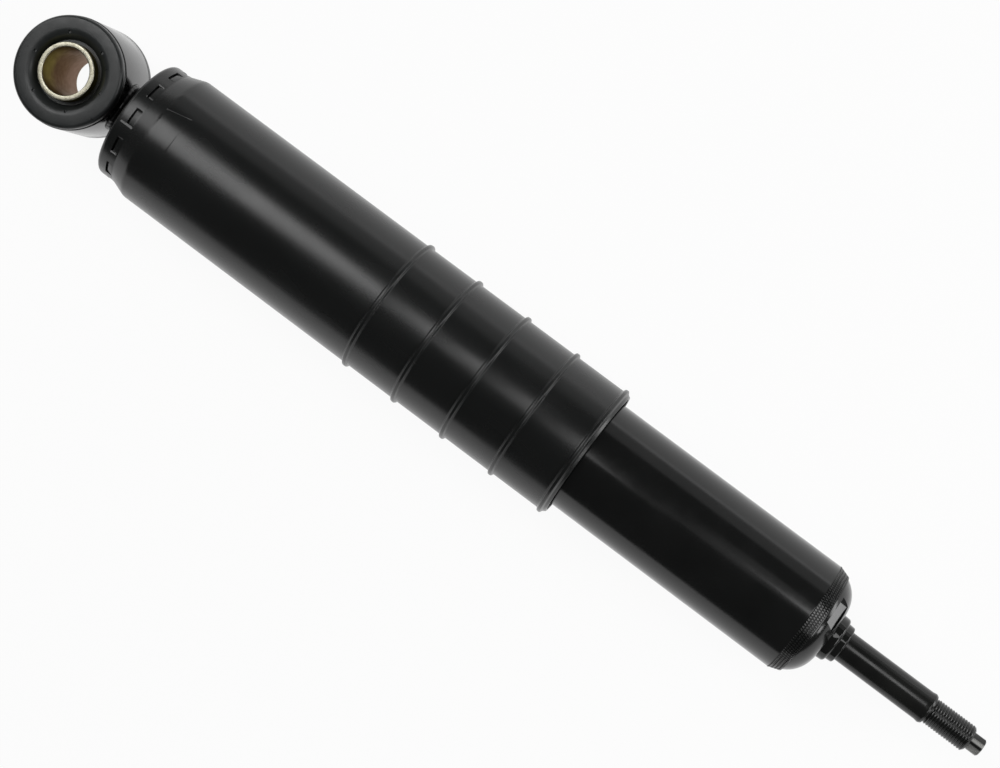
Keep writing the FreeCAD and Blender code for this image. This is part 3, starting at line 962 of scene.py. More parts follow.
CHROME = RodSurface("rod_chrome", (0.74, 0.74, 0.76), (0.80, 0.80, 0.82), (0.07, 0.30))
STEEL = Metal("bright_steel", (0.50, 0.50, 0.51), (0.62, 0.62, 0.62), (0.22, 0.36))
IRON = Metal("sintered_iron", (0.16, 0.16, 0.17), (0.26, 0.26, 0.26), (0.45, 0.65), marks=12e-6)
SPRING = Metal("spring_steel", (0.22, 0.24, 0.30), (0.36, 0.36, 0.38), (0.20, 0.32))
BRONZE = Metal("bearing_bronze", (0.46, 0.32, 0.14), (0.62, 0.46, 0.25), (0.30, 0.42))
BAND = Moulding("band_polymer", (0.15, 0.09, 0.045), (0.23, 0.15, 0.08), (0.40, 0.55))
BUFFER = Moulding("buffer_polymer", (0.48, 0.38, 0.20), (0.60, 0.50, 0.29), (0.38, 0.50))


def hand_over(
    piece: Piece, body: str, finish: Finish, nodes: Sequence[str] = (), sharp: float = SHARP_DEGREES
) -> None:
    """Shades, paints and mounts a finished piece.

    Args:
        piece: Finished piece.
        body: Moving body that carries it.
        finish: Finish of the whole piece.
        nodes: Solids that the piece stands for.
        sharp: Angle in degrees above which an edge stays sharp.
    """
    activate(piece)
    bpy.ops.object.shade_smooth_by_angle(angle=math.radians(sharp))
    piece.data.materials.clear()
    piece.data.materials.append(finish.material())
    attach(piece, body)
    if nodes:
        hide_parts(*nodes)
    LOG.info("%s rides on %s: %d faces", piece.name, body, len(piece.data.polygons))


@dataclass
class Eye:
    """Eye of the damper: sleeve, rubber bush and steel ring.

    Attributes:
        sleeve_wall: Wall of the sleeve.
        sleeve_round: Round on the sleeve's edges.
        ring_wall: Wall of the ring.
        ring_round: Round on the ring's edges.
        ring_set_in: How far the ring stays inside its solid.
        fit: Gap between the pieces.
        lip_set_in: How far the bush's upper lip stays inside the ring's outside.
        rear_set_in: How far its lower lip stays inside it.
        lip_round: Round on the bush's lip.
        lip_edge: Round on the lip's edge beside the ring.
        dish_depth: Depth of the dish next to the sleeve.
        dish_width: Width of the dish's floor.
        crown_round: Round of the face between its crown and the dish.
        mark_count: Pits of the mould's pins in each face.
        mark_radius: Radius of a pit.
        mark_depth: Depth of a pit.
        mark_taper: Share of its radius by which a pit narrows to its floor.
        mark_circle: Radius of the circle that the pits lie on.
        mark_turn: Angle of the first pit from +X towards -Y, in degrees.
        mark_steps: Spin steps of a pit.
        steps: Spin steps of the ring and the bush.
    """

    sleeve_wall: float = 2.5 * MM
    sleeve_round: float = 0.5 * MM
    ring_wall: float = 5.0 * MM
    ring_round: float = 0.7 * MM
    ring_set_in: float = 0.01 * MM
    fit: float = 0.05 * MM
    lip_set_in: float = 0.4 * MM
    rear_set_in: float = 0.05 * MM
    lip_round: float = 1.9 * MM
    lip_edge: float = 0.3 * MM
    dish_depth: float = 4.0 * MM
    dish_width: float = 1.6 * MM
    crown_round: float = 6.0 * MM
    mark_count: int = 6
    mark_radius: float = 0.8 * MM
    mark_depth: float = 0.8 * MM
    mark_taper: float = 0.3
    mark_circle: float = 19.6 * MM
    mark_turn: float = -3.0
    mark_steps: int = 12
    steps: int = 240

    def build(self) -> None:
        """Builds and dresses every piece of the eye."""
        self.sleeve()
        self.ring()
        self.bush()

    def sleeve(self) -> None:
        """Zinc-plated sleeve with faced ends."""
        low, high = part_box("eye_sleeve")
        outline = hoop((low.z, high.z), high.x - self.sleeve_wall, high.x, self.sleeve_round)
        hand_over(turned("eye_sleeve_tube", Spindle.EYE, outline), "sleeve", ZINC, ["eye_sleeve"])

    def ring(self) -> None:
        """Painted steel ring."""
        low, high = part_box("eye_ring")
        outer = high.x - self.ring_set_in
        outline = hoop((low.z, high.z), high.x - self.ring_wall, outer, self.ring_round)
        hand_over(turned("eye_ring_band", Spindle.EYE, outline, self.steps), "rod", RING_PAINT, ["eye_ring"])

    def bush(self) -> None:
        """Rubber bush with rolled lips over the ring and a dish at the sleeve."""
        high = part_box("eye_bush")[1]
        ring_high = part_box("eye_ring")[1]
        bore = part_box("eye_sleeve")[1].x + self.fit
        plug = ring_high.x - self.ring_wall - self.fit
        lip = ring_high.x - self.lip_set_in
        rear = ring_high.x - self.rear_set_in
        floor = high.z - self.dish_depth
        sweep = math.degrees(self.dish_sweep())
        crown = self.crown_radius()
        centre = high.z - self.crown_round
        outline = [
            Corner(ring_high.z, plug),
            Corner(ring_high.z, lip, self.lip_edge),
            Corner(high.z, lip, self.lip_round),
            Corner(high.z, crown),
            Arc(centre, crown, -sweep),
            Corner(floor, bore),
            Corner(-floor, bore),
            Corner(-floor, bore + self.dish_width),
            Arc(-centre, crown, -sweep),
            Corner(-high.z, rear, self.lip_round),
            Corner(-ring_high.z, rear, self.lip_edge),
            Corner(-ring_high.z, plug),
        ]
        piece = turned("eye_bush_rubber", Spindle.EYE, outline, self.steps)
        combine(piece, self.pin_marks(), Joining.CUT)
        hand_over(piece, "rod", BUSH_RUBBER, ["eye_bush"])

    def dish_sweep(self) -> float:
        """Sweep of the round from the crown down to the dish."""
        return math.acos(1 - self.dish_depth / self.crown_round)

    def crown_radius(self) -> float:
        """Radius at which the face's flat crown meets that round."""
        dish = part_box("eye_sleeve")[1].x + self.fit + self.dish_width
        return dish + self.crown_round * math.sin(self.dish_sweep())

    def pin_marks(self) -> Piece:
        """Tool that cuts the pits left by the mould's pins.

        Returns:
            The pins of both faces as one tool.
        """
        inside = self.crown_radius() - self.mark_circle
        fall = self.crown_round - math.sqrt(self.crown_round ** 2 - inside ** 2)
        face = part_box("eye_bush")[1].z - fall
        outline = [
            Corner(-self.mark_depth, 0.0),
            Corner(-self.mark_depth, (1 - self.mark_taper) * self.mark_radius),
            Corner(self.mark_depth, (1 + self.mark_taper) * self.mark_radius),
            Corner(self.mark_depth, 0.0),
        ]
        tool = turned("bush_pin_marks", Spindle.EYE, outline, self.mark_steps)
        select_all()
        shift((self.mark_circle, 0.0, face))
        rotate("Z", math.radians(self.mark_turn))
        copy_round(Spindle.EYE, self.mark_count)
        select_all()
        bpy.ops.mesh.duplicate()
        bpy.ops.transform.mirror(constraint_axis=(False, False, True), center_override=ORIGIN)
        tidy_mesh()
        return tool


@dataclass
class Head:
    """Head of the rod: the weld to the eye and the plate inside the cover.

    Attributes:
        plate_wall: Wall of the pressed plate.
        plate_round: Round on its outer corner.
        plate_fillet: Round inside that corner.
        plate_edge: Round on the edges of its rim.
        rod_r: Radius of the rod.
        rod_fit: Gap between the plate and the rod.
        bead_sections: Sections round the weld bead.
        bead_sides: Sides of a section.
        bead_ripples: Ripples round the weld bead.
        bead_radius: Radius of the bead's section.
        bead_circle: Radius of the bead's ring about the rod.
        bead_sharp: Angle in degrees above which the bead's edges stay sharp.
        ripple: Height of a ripple, as a share of the bead's radius.
    """

    plate_wall: float = 2.5 * MM
    plate_round: float = 1.2 * MM
    plate_fillet: float = 0.6 * MM
    plate_edge: float = 0.3 * MM
    rod_r: float = 9.0 * MM
    rod_fit: float = 0.05 * MM
    bead_sections: int = 120
    bead_sides: int = 14
    bead_ripples: int = 30
    bead_radius: float = 1.8 * MM
    bead_circle: float = 12.0 * MM
    bead_sharp: float = 60.0
    ripple: float = 0.05

    def build(self) -> None:
        """Builds and dresses the plate and the weld."""
        self.plate()
        self.weld()

    def plate(self) -> None:
        """Pressed cup that the dust cover snaps over."""
        low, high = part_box("cover_plate")
        outer = high.z
        inner = outer - self.plate_wall
        bore = self.rod_r + self.rod_fit
        outline = [
            Corner(low.x, inner, self.plate_edge),
            Corner(low.x, outer, self.plate_edge),
            Corner(high.x, outer, self.plate_round),
            Corner(high.x, bore),
            Corner(high.x - self.plate_wall, bore),
            Corner(high.x - self.plate_wall, inner, self.plate_fillet),
        ]
        hand_over(turned("cover_plate_cup", Spindle.DAMPER, outline), "rod", PLATE_PAINT, ["cover_plate"])

    def weld(self) -> None:
        """Rippled bead that follows the saddle between the rod and the ring."""
        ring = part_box("eye_ring")[1].x
        clear_selection()
        bpy.ops.mesh.primitive_torus_add(
            major_segments=self.bead_sections, minor_segments=self.bead_sides,
            major_radius=self.bead_circle, minor_radius=self.bead_radius,
            location=(ring, 0.0, 0.0), rotation=(0.0, math.pi / 2, 0.0),
        )
        piece = opened("rod_weld_bead")
        width = 360.0 / self.bead_sections
        reach = math.radians(width / 3)
        for section in range(self.bead_sections):
            angle = math.radians(section * width)
            centre = Vector((ring, self.bead_circle * math.sin(angle), self.bead_circle * math.cos(angle)))
            pick(piece, Element.VERTS, lambda vertex: abs(self.turn(vertex.co, angle)) < reach)
            swell = 1 + self.ripple * math.cos(self.bead_ripples * angle)
            scale((swell,) * 3, centre)
            saddle = math.sqrt(ring ** 2 - centre.y ** 2) - ring
            shift((saddle, 0.0, 0.0))
        hand_over(piece, "rod", PLATE_PAINT, sharp=self.bead_sharp)

    @staticmethod
    def turn(place: Vector, angle: float) -> float:
        """Angle of a place about the rod beyond a given one, within half a turn."""
        return math.remainder(math.atan2(place.y, place.z) - angle, FULL_TURN)


@dataclass
class DustCover:
    """Moulded cover over the rod, with snap windows at its neck and ribs at its mouth.

    Attributes:
        wall: Wall of the moulding.
        lip_reach: How far the end lip reaches inwards from the neck's bore.
        lip_edge: Round on the end lip's edges.
        edge_round: Round on the eye end.
        neck_fit: Gap between the neck and the plate.
        neck_margin: Neck beyond the plate.
        neck_round: Round between the neck and the cone.
        cone_length: Length of the cone between the neck and the barrel.
        cone_round: Round between the cone and the barrel.
        rib_count: Number of ribs.
        rib_pitch: Distance between ribs.
        rib_inset: Distance of the last rib from the mouth.
        rib_width: Width of a rib at its foot.
        rib_height: Height of a rib.
        rib_crest: Width of a rib's crest before it is rounded.
        rib_fillet: Round at a rib's foot.
        rib_round: Round on a rib's crest.
        crest_set_in: How far a rib's crest stays inside its solid.
        mouth_taper: How far the mouth's edge draws in.
        mouth_edge: Round on the mouth's edges.
        window_count: Number of windows, each over a nose.
        window_angle: Width of a window in degrees.
        window_height: Length of a window along the damper.
        window_turn: Angle of the first window in degrees.
        window_bevel: Bevel on a window's ends.
        bevel_lift: How much shallower the bevel is at a window's upper end.
        window_slit: Length of a window at its foot, along the damper.
        slope_depth: Depth of the slope from a window's edge down to its slit.
        nose_angle: Width of a nose in degrees.
        nose_reach: How far a nose reaches under the plate.
        nose_land: Flat of a nose.
        nose_ramp: Ramp of a nose.
        ramp_rise: How far the bore widens along that ramp.
        seat: Gap between a nose and the plate.
        line_reach: Distance of the slide's line from the cone.
        line_sweep: First and last angle of that line in degrees.
        line_steps: Spin steps of that line.
        line_width: Width of the slide's lines.
        line_height: Height of the slide's lines.
        seam_slant: Angle in degrees that the slide's seam turns about the damper on its way.
        flash_start: Distance of the flash from the eye end.
        flash_angles: Foot, crest and other foot of the flash beside a window, in degrees.
        flash_height: Height of the flash.
        steps: Spin steps, one to a degree so that the windows fall on them.
        sharp: Angle in degrees above which the cover's edges stay sharp.
    """

    wall: float = 2.0 * MM
    lip_reach: float = 4.5 * MM
    lip_edge: float = 0.4 * MM
    edge_round: float = 2.4 * MM
    neck_fit: float = 0.2 * MM
    neck_margin: float = 0.8 * MM
    neck_round: float = 0.8 * MM
    cone_length: float = 8.3 * MM
    cone_round: float = 5.0 * MM
    rib_count: int = 5
    rib_pitch: float = 30.0 * MM
    rib_inset: float = 3.0 * MM
    rib_width: float = 3.2 * MM
    rib_height: float = 1.5 * MM
    rib_crest: float = 1.6 * MM
    rib_fillet: float = 0.5 * MM
    rib_round: float = 0.7 * MM
    crest_set_in: float = 0.04 * MM
    mouth_taper: float = 0.9 * MM
    mouth_edge: float = 0.3 * MM
    window_count: int = 12
    window_angle: int = 16
    window_height: float = 3.4 * MM
    window_turn: int = -4
    window_bevel: float = 0.5 * MM
    bevel_lift: float = 0.16 * MM
    window_slit: float = 1.0 * MM
    slope_depth: float = 0.6 * MM
    nose_angle: int = 12
    nose_reach: float = 1.2 * MM
    nose_land: float = 1.2 * MM
    nose_ramp: float = 2.4 * MM
    ramp_rise: float = 0.4 * MM
    seat: float = 0.05 * MM
    line_reach: float = 13.0 * MM
    line_sweep: Span = (-30.5, 3.0)
    line_steps: int = 34
    line_width: float = 1.0 * MM
    line_height: float = 0.1 * MM
    seam_slant: float = -5.0
    flash_start: float = 3.0 * MM
    flash_angles: Triple = (3.4, 5.4, 5.7)
    flash_height: float = 0.22 * MM
    steps: int = 360
    sharp: float = 31.0

    def __post_init__(self) -> None:
        """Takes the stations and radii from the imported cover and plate."""
        low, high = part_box("dust_cover")
        plate_low, plate_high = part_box("cover_plate")
        self.top = low.x
        self.mouth = high.x
        self.barrel_r = high.z - self.rib_height
        self.bore_r = self.barrel_r - self.wall
        self.neck_bore_r = plate_high.z + self.neck_fit
        self.neck_r = self.neck_bore_r + self.wall
        self.ledge = plate_low.x
        self.window_end = plate_high.x + self.seat
        self.window_start = plate_high.x - self.window_height
        self.window_foot = self.window_start + self.window_slit
        self.window_pitch = 360.0 / self.window_count
        self.nose_end = self.window_end + self.nose_land
        self.cone = plate_high.x + self.neck_margin
        self.barrel = self.cone + self.cone_length
        self.line_end = self.barrel + self.line_reach
        self.raised = self.barrel_r + self.line_height
        self.sunk = self.barrel_r - self.line_height

    def build(self) -> None:
        """Builds and dresses the cover."""
        piece = turned("dust_cover_shell", Spindle.DAMPER, self.outline(), self.steps)
        self.open_windows(piece)
        self.bevel_windows(piece)
        self.slope_windows(piece)
        self.raise_noses(piece)
        hand_over(piece, "rod", COVER_PLASTIC, ["dust_cover"], self.sharp)
        self.slide_line()
        self.slide_seam()
        self.slide_flash()

    def outline(self) -> Outline:
        """Half section of the cover's wall.

        Returns:
            Its corners, down the outside and back up the inside.
        """
        lip_r = self.neck_bore_r - self.lip_reach
        crest_r = self.barrel_r + self.rib_height - self.crest_set_in
        outer = [
            Corner(self.top, lip_r, self.lip_edge),
            Corner(self.top, self.neck_r, self.edge_round),
            Corner(self.window_start, self.neck_r),
            Corner(self.window_end, self.neck_r),
            Corner(self.cone, self.neck_r, self.neck_round),
            Corner(self.barrel, self.barrel_r, self.cone_round),
        ]
        for index in reversed(range(self.rib_count)):
            rib = self.mouth - self.rib_inset - index * self.rib_pitch
            outer += [
                Corner(rib - self.rib_width / 2, self.barrel_r, self.rib_fillet),
                Corner(rib - self.rib_crest / 2, crest_r, self.rib_round),
                Corner(rib + self.rib_crest / 2, crest_r, self.rib_round),
                Corner(rib + self.rib_width / 2, self.barrel_r, self.rib_fillet),
            ]
        outer.append(Corner(self.mouth, self.barrel_r - self.mouth_taper, self.mouth_edge))
        inner = [
            Corner(self.mouth, self.bore_r, self.mouth_edge),
            Corner(self.barrel, self.bore_r),
            Corner(self.nose_end + self.nose_ramp, self.neck_bore_r + self.ramp_rise),
            Corner(self.nose_end, self.neck_bore_r),
            Corner(self.window_end, self.neck_bore_r),
            Corner(self.window_foot, self.neck_bore_r),
            Corner(self.window_start, self.neck_bore_r),
            Corner(self.ledge, self.neck_bore_r),
            Corner(self.ledge, lip_r, self.lip_edge),
        ]
        return outer + inner

    def offset_in_pitch(self, place: Vector) -> float:
        """Angle of a place from the middle of the nearest window, in degrees."""
        return math.remainder(angle_about_damper(place) - self.window_turn, self.window_pitch)

    def between_window_edges(self, place: Vector) -> bool:
        """Whether a place on either wall lies between the windows' two edges along the damper."""
        outside = radius_about_damper(place) > self.neck_bore_r + self.wall / 2
        return self.window_start < place.x < (self.window_end if outside else self.window_foot)

    def open_windows(self, piece: Piece) -> None:
        """Cuts the windows out of both walls and closes their sides.

        Args:
            piece: Shell of the cover.
        """
        edit(piece)

        def in_window(face: bmesh.types.BMFace) -> bool:
            """Whether a wall's face lies in a window.

            Args:
                face: Face of the shell.

            Returns:
                True for a face that is cut out.
            """
            place = face.calc_center_median()
            inside = abs(self.offset_in_pitch(place)) < self.window_angle / 2
            return inside and self.between_window_edges(place)

        pick(piece, Element.FACES, in_window)
        bpy.ops.mesh.delete(type="FACE")
        for index in range(self.window_count):
            middle = self.window_turn + index * self.window_pitch

            def on_rim(edge: bmesh.types.BMEdge) -> bool:
                """Whether an open edge belongs to this window.

                Args:
                    edge: Edge of the shell.

                Returns:
                    True for an edge of this window's two openings.
                """
                place = (edge.verts[0].co + edge.verts[1].co) / 2
                near = abs(math.remainder(angle_about_damper(place) - middle, 360.0)) < self.window_angle
                return edge.is_boundary and near

            pick(piece, Element.EDGES, on_rim)
            bpy.ops.mesh.bridge_edge_loops()
        tidy_mesh()

    def bevel_windows(self, piece: Piece) -> None:
        """Bevels the outer edges of the windows' ends, more gently at the upper ends.

        Args:
            piece: Shell of the cover.
        """
        edit(piece)

        def on_end(edge: bmesh.types.BMEdge) -> bool:
            """Whether an edge is the outer one of a window's end.

            Args:
                edge: Edge of the shell.

            Returns:
                True for an edge that is bevelled.
            """
            first, second = (vertex.co for vertex in edge.verts)
            middle = (first + second) / 2
            along = abs(abs(first.x - second.x) - (self.window_end - self.window_start)) < MERGE_DISTANCE
            outside = radius_about_damper(middle) > self.neck_r - self.wall / 4
            beside = abs(abs(self.offset_in_pitch(middle)) - self.window_angle / 2) < ANGLE_SLACK
            return along and outside and beside

        pick(piece, Element.EDGES, on_end)
        bpy.ops.mesh.bevel(affect="EDGES", offset=self.window_bevel, segments=1)

        def on_upper_bevel(vertex: bmesh.types.BMVert) -> bool:
            """Whether a vertex is an inner one of the bevel at a window's upper end.

            Args:
                vertex: Vertex of the shell.

            Returns:
                True for a vertex that is lifted.
            """
            depth = self.neck_r - radius_about_damper(vertex.co)
            upper = abs(self.offset_in_pitch(vertex.co) + self.window_angle / 2) < ANGLE_SLACK
            return upper and abs(depth - self.window_bevel) < self.window_bevel / 5

        pick(piece, Element.VERTS, on_upper_bevel)
        lift = 1 + self.bevel_lift / self.neck_r
        scale((1.0, lift, lift))
        tidy_mesh()

    def slope_windows(self, piece: Piece) -> None:
        """Slopes the far side of each window gently down from the neck to its slit.

        Args:
            piece: Shell of the cover.
        """
        edit(piece)
        middle = self.neck_r - self.wall / 2

        def down_far_side(edge: bmesh.types.BMEdge) -> bool:
            """Whether an edge runs from the neck down to a slit's far edge.

            Args:
                edge: Edge of the shell.

            Returns:
                True for an edge that is cut in two.
            """
            inner, outer = sorted((vertex.co for vertex in edge.verts), key=radius_about_damper)
            at_foot = abs(inner.x - self.window_foot) < MERGE_DISTANCE
            in_bore = radius_about_damper(inner) < self.neck_bore_r + MERGE_DISTANCE
            return at_foot and in_bore and radius_about_damper(outer) > middle

        pick(piece, Element.EDGES, down_far_side)
        bpy.ops.mesh.subdivide(number_cuts=1)

        def on_slope(vertex: bmesh.types.BMVert) -> bool:
            """Whether a vertex is one of those that the cut added."""
            near = abs(radius_about_damper(vertex.co) - middle) < self.wall / 8
            return near and self.window_foot + MERGE_DISTANCE < vertex.co.x < self.window_end

        pick(piece, Element.VERTS, on_slope)
        scale((0.0, 1.0, 1.0), (self.window_foot, 0.0, 0.0))
        raised = (self.neck_r - self.slope_depth) / middle
        scale((1.0, raised, raised))
        tidy_mesh()

    def raise_noses(self, piece: Piece) -> None:
        """Extrudes a nose inwards from the bore beside each window.

        Args:
            piece: Shell of the cover.
        """
        edit(piece)

        def on_nose(face: bmesh.types.BMFace) -> bool:
            """Whether a face of the bore carries a nose.

            Args:
                face: Face of the shell.

            Returns:
                True for a face that is raised.
            """
            place = face.calc_center_median()
            along = self.window_end < place.x < self.nose_end
            inside = radius_about_damper(place) < self.neck_bore_r + self.wall / 4
            return along and inside and abs(self.offset_in_pitch(place)) < self.nose_angle / 2

        pick(piece, Element.FACES, on_nose)
        bpy.ops.mesh.extrude_region_shrink_fatten(TRANSFORM_OT_shrink_fatten={"value": -self.nose_reach})
        tidy_mesh()

    def slide_line(self) -> None:
        """Faint raised arc where the mould's slide ends on the barrel."""
        outline = [
            Corner(self.line_end - self.line_width, self.sunk),
            Corner(self.line_end - self.line_width / 2, self.raised),
            Corner(self.line_end, self.sunk),
        ]
        piece = draw_outline("cover_slide_line", Spindle.DAMPER, outline)
        first, last = (math.radians(angle) for angle in self.line_sweep)
        rotate("X", -last)
        bpy.ops.mesh.edge_face_add()
        bpy.ops.mesh.spin(
            steps=self.line_steps, angle=last - first, center=ORIGIN, axis=Spindle.DAMPER.value
        )
        tidy_mesh()
        hand_over(piece, "rod", COVER_PLASTIC)

    def slide_seam(self) -> None:
        """Faint raised line from the slide's end back to the cone."""
        middle = self.line_sweep[0] - self.seam_slant
        half = math.degrees(self.line_width / 2 / self.barrel_r)
        section = ((middle - half, self.sunk), (middle, self.raised), (middle + half, self.sunk))
        self.ridge("cover_slide_seam", (self.barrel, self.line_end), section, self.seam_slant)

    def slide_flash(self) -> None:
        """Sliver of flash beside the window that faces up."""
        sunk = self.neck_r - self.line_height / 2
        section = zip(self.flash_angles, (sunk, self.neck_r + self.flash_height, sunk))
        span = (self.top + self.flash_start, self.cone - self.line_height)
        self.ridge("cover_slide_flash", span, tuple(section))

    @staticmethod
    def ridge(name: str, span: Span, section: Sequence[Span], slant: float = 0.0) -> None:
        """Builds and dresses a straight ridge along the cover.

        Args:
            name: Name of the piece.
            span: Its start and end along the damper.
            section: Angle in degrees and radius of each corner of its section.
            slant: Angle in degrees that it turns about the damper from start to end.
        """
        corners = []
        for degrees, radius in section:
            angle = math.radians(degrees)
            corners.append(Vector((span[0], -radius * math.sin(angle), radius * math.cos(angle))))
        piece = single_vertex(name, corners[0])
        for here, there in zip(corners, corners[1:]):
            extrude(there - here)
        select_all()
        bpy.ops.mesh.edge_face_add()
        extrude((span[1] - span[0], 0.0, 0.0))
        rotate("X", -math.radians(slant))
        tidy_mesh()
        hand_over(piece, "rod", COVER_PLASTIC)


@dataclass
class DamperTube:
    """Painted reservoir tube with its rolled ends and the knurl of its crimp.

    Attributes:
        wall: Wall of the tube.
        lip_width: Width of the rolled lip at the rod end.
        lip_round: Outer round of that lip.
        lip_edge: Round on the edge of that lip.
        crimp_length: Length of the crimped foot.
        crimp_draw: How far the crimp draws the bore in.
        crimp_edge: Thickness of the crimp's edge.
        crimp_round: Round where the crimp starts.
        foot_round: Round on the crimp's edge.
        knurl_count: Lands of the knurl in one row.
        knurl_rows: Rows of the knurl.
        knurl_height: Height of a land over its grooves.
        knurl_fill: Share of the pitch that a land takes, along and round the crimp.
        knurl_slant: Angle of a land to the damper's axis, in degrees.
        knurl_sharp: Angle in degrees above which a land's edges stay sharp.
        land_sides: Sides of the ball that a land is cut from.
        land_rings: Rings of that ball.
        land_cut: Height of a land's flat top as a share of the ball's radius.
        steps: Spin steps of the tube.
    """

    wall: float = 2.0 * MM
    lip_width: float = 8.0 * MM
    lip_round: float = 3.0 * MM
    lip_edge: float = 0.3 * MM
    crimp_length: float = 6.5 * MM
    crimp_draw: float = 0.8 * MM
    crimp_edge: float = 0.55 * MM
    crimp_round: float = 2.0 * MM
    foot_round: float = 0.2 * MM
    knurl_count: int = 132
    knurl_rows: int = 4
    knurl_height: float = 0.24 * MM
    knurl_fill: Span = (0.98, 0.74)
    knurl_slant: float = 14.0
    knurl_sharp: float = 20.0
    land_sides: int = 8
    land_rings: int = 4
    land_cut: float = 0.5
    steps: int = 288

    def __post_init__(self) -> None:
        """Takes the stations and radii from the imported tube."""
        low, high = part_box("reservoir_tube")
        self.top = low.x
        self.foot = high.x
        self.outer_r = high.z
        self.bore_r = self.outer_r - self.wall
        self.crimp = self.foot - self.crimp_length
        self.edge_bore_r = self.bore_r - self.crimp_draw
        self.edge_r = self.edge_bore_r + self.crimp_edge

    def build(self) -> None:
        """Builds and dresses the tube and its knurl."""
        self.tube()
        self.knurl()

    def tube(self) -> None:
        """Tube, rolled over the seal plate and onto the cap."""
        lip = self.bore_r - self.lip_width
        outline = [
            Corner(self.top, lip, self.lip_edge),
            Corner(self.top, self.outer_r, self.lip_round),
            Corner(self.crimp, self.outer_r, self.crimp_round),
            Corner(self.foot, self.edge_r, self.foot_round),
            Corner(self.foot, self.edge_bore_r),
            Corner(self.crimp, self.bore_r),
            Corner(self.top + self.wall, self.bore_r),
            Corner(self.top + self.wall, lip),
        ]
        piece = turned("reservoir_tube_shell", Spindle.DAMPER, outline, self.steps)
        hand_over(piece, "tube", TUBE_PAINT, ["reservoir_tube"])

    def knurl(self) -> None:
        """Knurl round the crimp: one land with a flat top, copied round in offset rows."""
        slope = math.atan2(self.outer_r - self.edge_r, self.crimp_length)
        row_pitch = self.crimp_length / self.knurl_rows
        pitch = FULL_TURN / self.knurl_count
        along, around = self.knurl_fill
        clear_selection()
        bpy.ops.mesh.primitive_uv_sphere_add(
            segments=self.land_sides, ring_count=self.land_rings, radius=1.0
        )
        piece = opened("crimp_knurl")
        slice_off((0.0, 0.0, self.land_cut), Spindle.EYE.value)
        select_all()
        height = self.knurl_height / self.land_cut
        scale((row_pitch * along / 2, self.outer_r * pitch * around / 2, height))
        rotate("Z", math.radians(self.knurl_slant))
        rotate("Y", -slope)
        first = self.crimp + row_pitch / 2
        shift((first, 0.0, self.crimp_radius(first)))
        for _ in range(self.knurl_rows - 1):
            bpy.ops.mesh.duplicate()
            shift((row_pitch, 0.0, self.crimp_radius(first + row_pitch) - self.crimp_radius(first)))
            rotate("X", pitch / 2)
        select_all()
        copy_round(Spindle.DAMPER, self.knurl_count)
        tidy_mesh()
        hand_over(piece, "tube", KNURL_PAINT, sharp=self.knurl_sharp)

    def crimp_radius(self, along: float) -> float:
        """Radius of the crimped foot at a place along the damper."""
        share = (along - self.crimp) / self.crimp_length
        return self.outer_r + share * (self.edge_r - self.outer_r)


@dataclass
class BottomCap:
    """Forged cap in the foot of the tube, with two wrench pockets.

    Attributes:
        skirt_wall: Wall of the skirt inside the tube.
        floor: Distance of the cap's floor from the tube's edge.
        knuckle: Radius of the dome's arc.
        knuckle_steps: Straight steps in that arc.
        height: Height of the dome.
        crimp_length: Length of the crimp over the skirt.
        crimp_draw: How far the crimp draws in.
        pocket_width: Width of a pocket.
        pocket_start: Start of a pocket beyond the tube's edge.
        pocket_length: Length of a pocket's floor along the damper.
        pocket_floor: Distance of the floor from the axis, where it starts.
        pocket_fall: Slope of the floor towards the pin, in degrees.
        pocket_turns: Angles of the two pockets in degrees.
        steps: Spin steps of the cap.
    """

    skirt_wall: float = 3.5 * MM
    floor: float = 4.1 * MM
    knuckle: float = 16.0 * MM
    knuckle_steps: int = 24
    height: float = 9.0 * MM
    crimp_length: float = 6.5 * MM
    crimp_draw: float = 0.8 * MM
    pocket_width: float = 16.0 * MM
    pocket_start: float = 2.15 * MM
    pocket_length: float = 4.4 * MM
    pocket_floor: float = 21.4 * MM
    pocket_fall: float = 30.0
    pocket_turns: Span = (-33.0, 147.0)
    steps: int = 288

    def build(self) -> None:
        """Builds and dresses the cap."""
        low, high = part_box("bottom_cap")
        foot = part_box("reservoir_tube")[1].x
        fit_r = high.z
        edge_r = fit_r - self.crimp_draw
        sweep = math.acos(1 - self.height / self.knuckle)
        crown_r = edge_r - self.knuckle * math.sin(sweep)
        outline = [
            Corner(foot - self.floor, 0.0),
            Corner(foot - self.floor, fit_r - self.skirt_wall),
            Corner(low.x, fit_r - self.skirt_wall),
            Corner(low.x, fit_r),
            Corner(foot - self.crimp_length, fit_r),
            Corner(foot, edge_r),
            Arc(high.x - self.knuckle, crown_r, math.degrees(sweep), self.knuckle_steps),
            Corner(high.x, 0.0),
        ]
        piece = turned("bottom_cap_dome", Spindle.DAMPER, outline, self.steps)
        for turn in self.pocket_turns:
            combine(piece, self.pocket(foot, turn), Joining.CUT)
        hand_over(piece, "tube", TUBE_PAINT, ["bottom_cap"])

    def pocket(self, foot: float, turn: float) -> Piece:
        """Block that cuts one pocket.

        Args:
            foot: Edge of the tube along the damper.
            turn: Angle of the pocket in degrees.

        Returns:
            The block.
        """
        start = foot + self.pocket_start
        end = start + self.pocket_length
        low = self.pocket_floor - self.pocket_length * math.tan(math.radians(self.pocket_fall))
        clear_of_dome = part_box("reservoir_tube")[1].z
        outline = [
            Corner(start, self.pocket_floor),
            Corner(end, low),
            Corner(end + clear_of_dome - low, clear_of_dome),
            Corner(start, clear_of_dome),
        ]
        tool = block("pocket", outline, self.pocket_width)
        rotate("X", -math.radians(turn))
        return tool


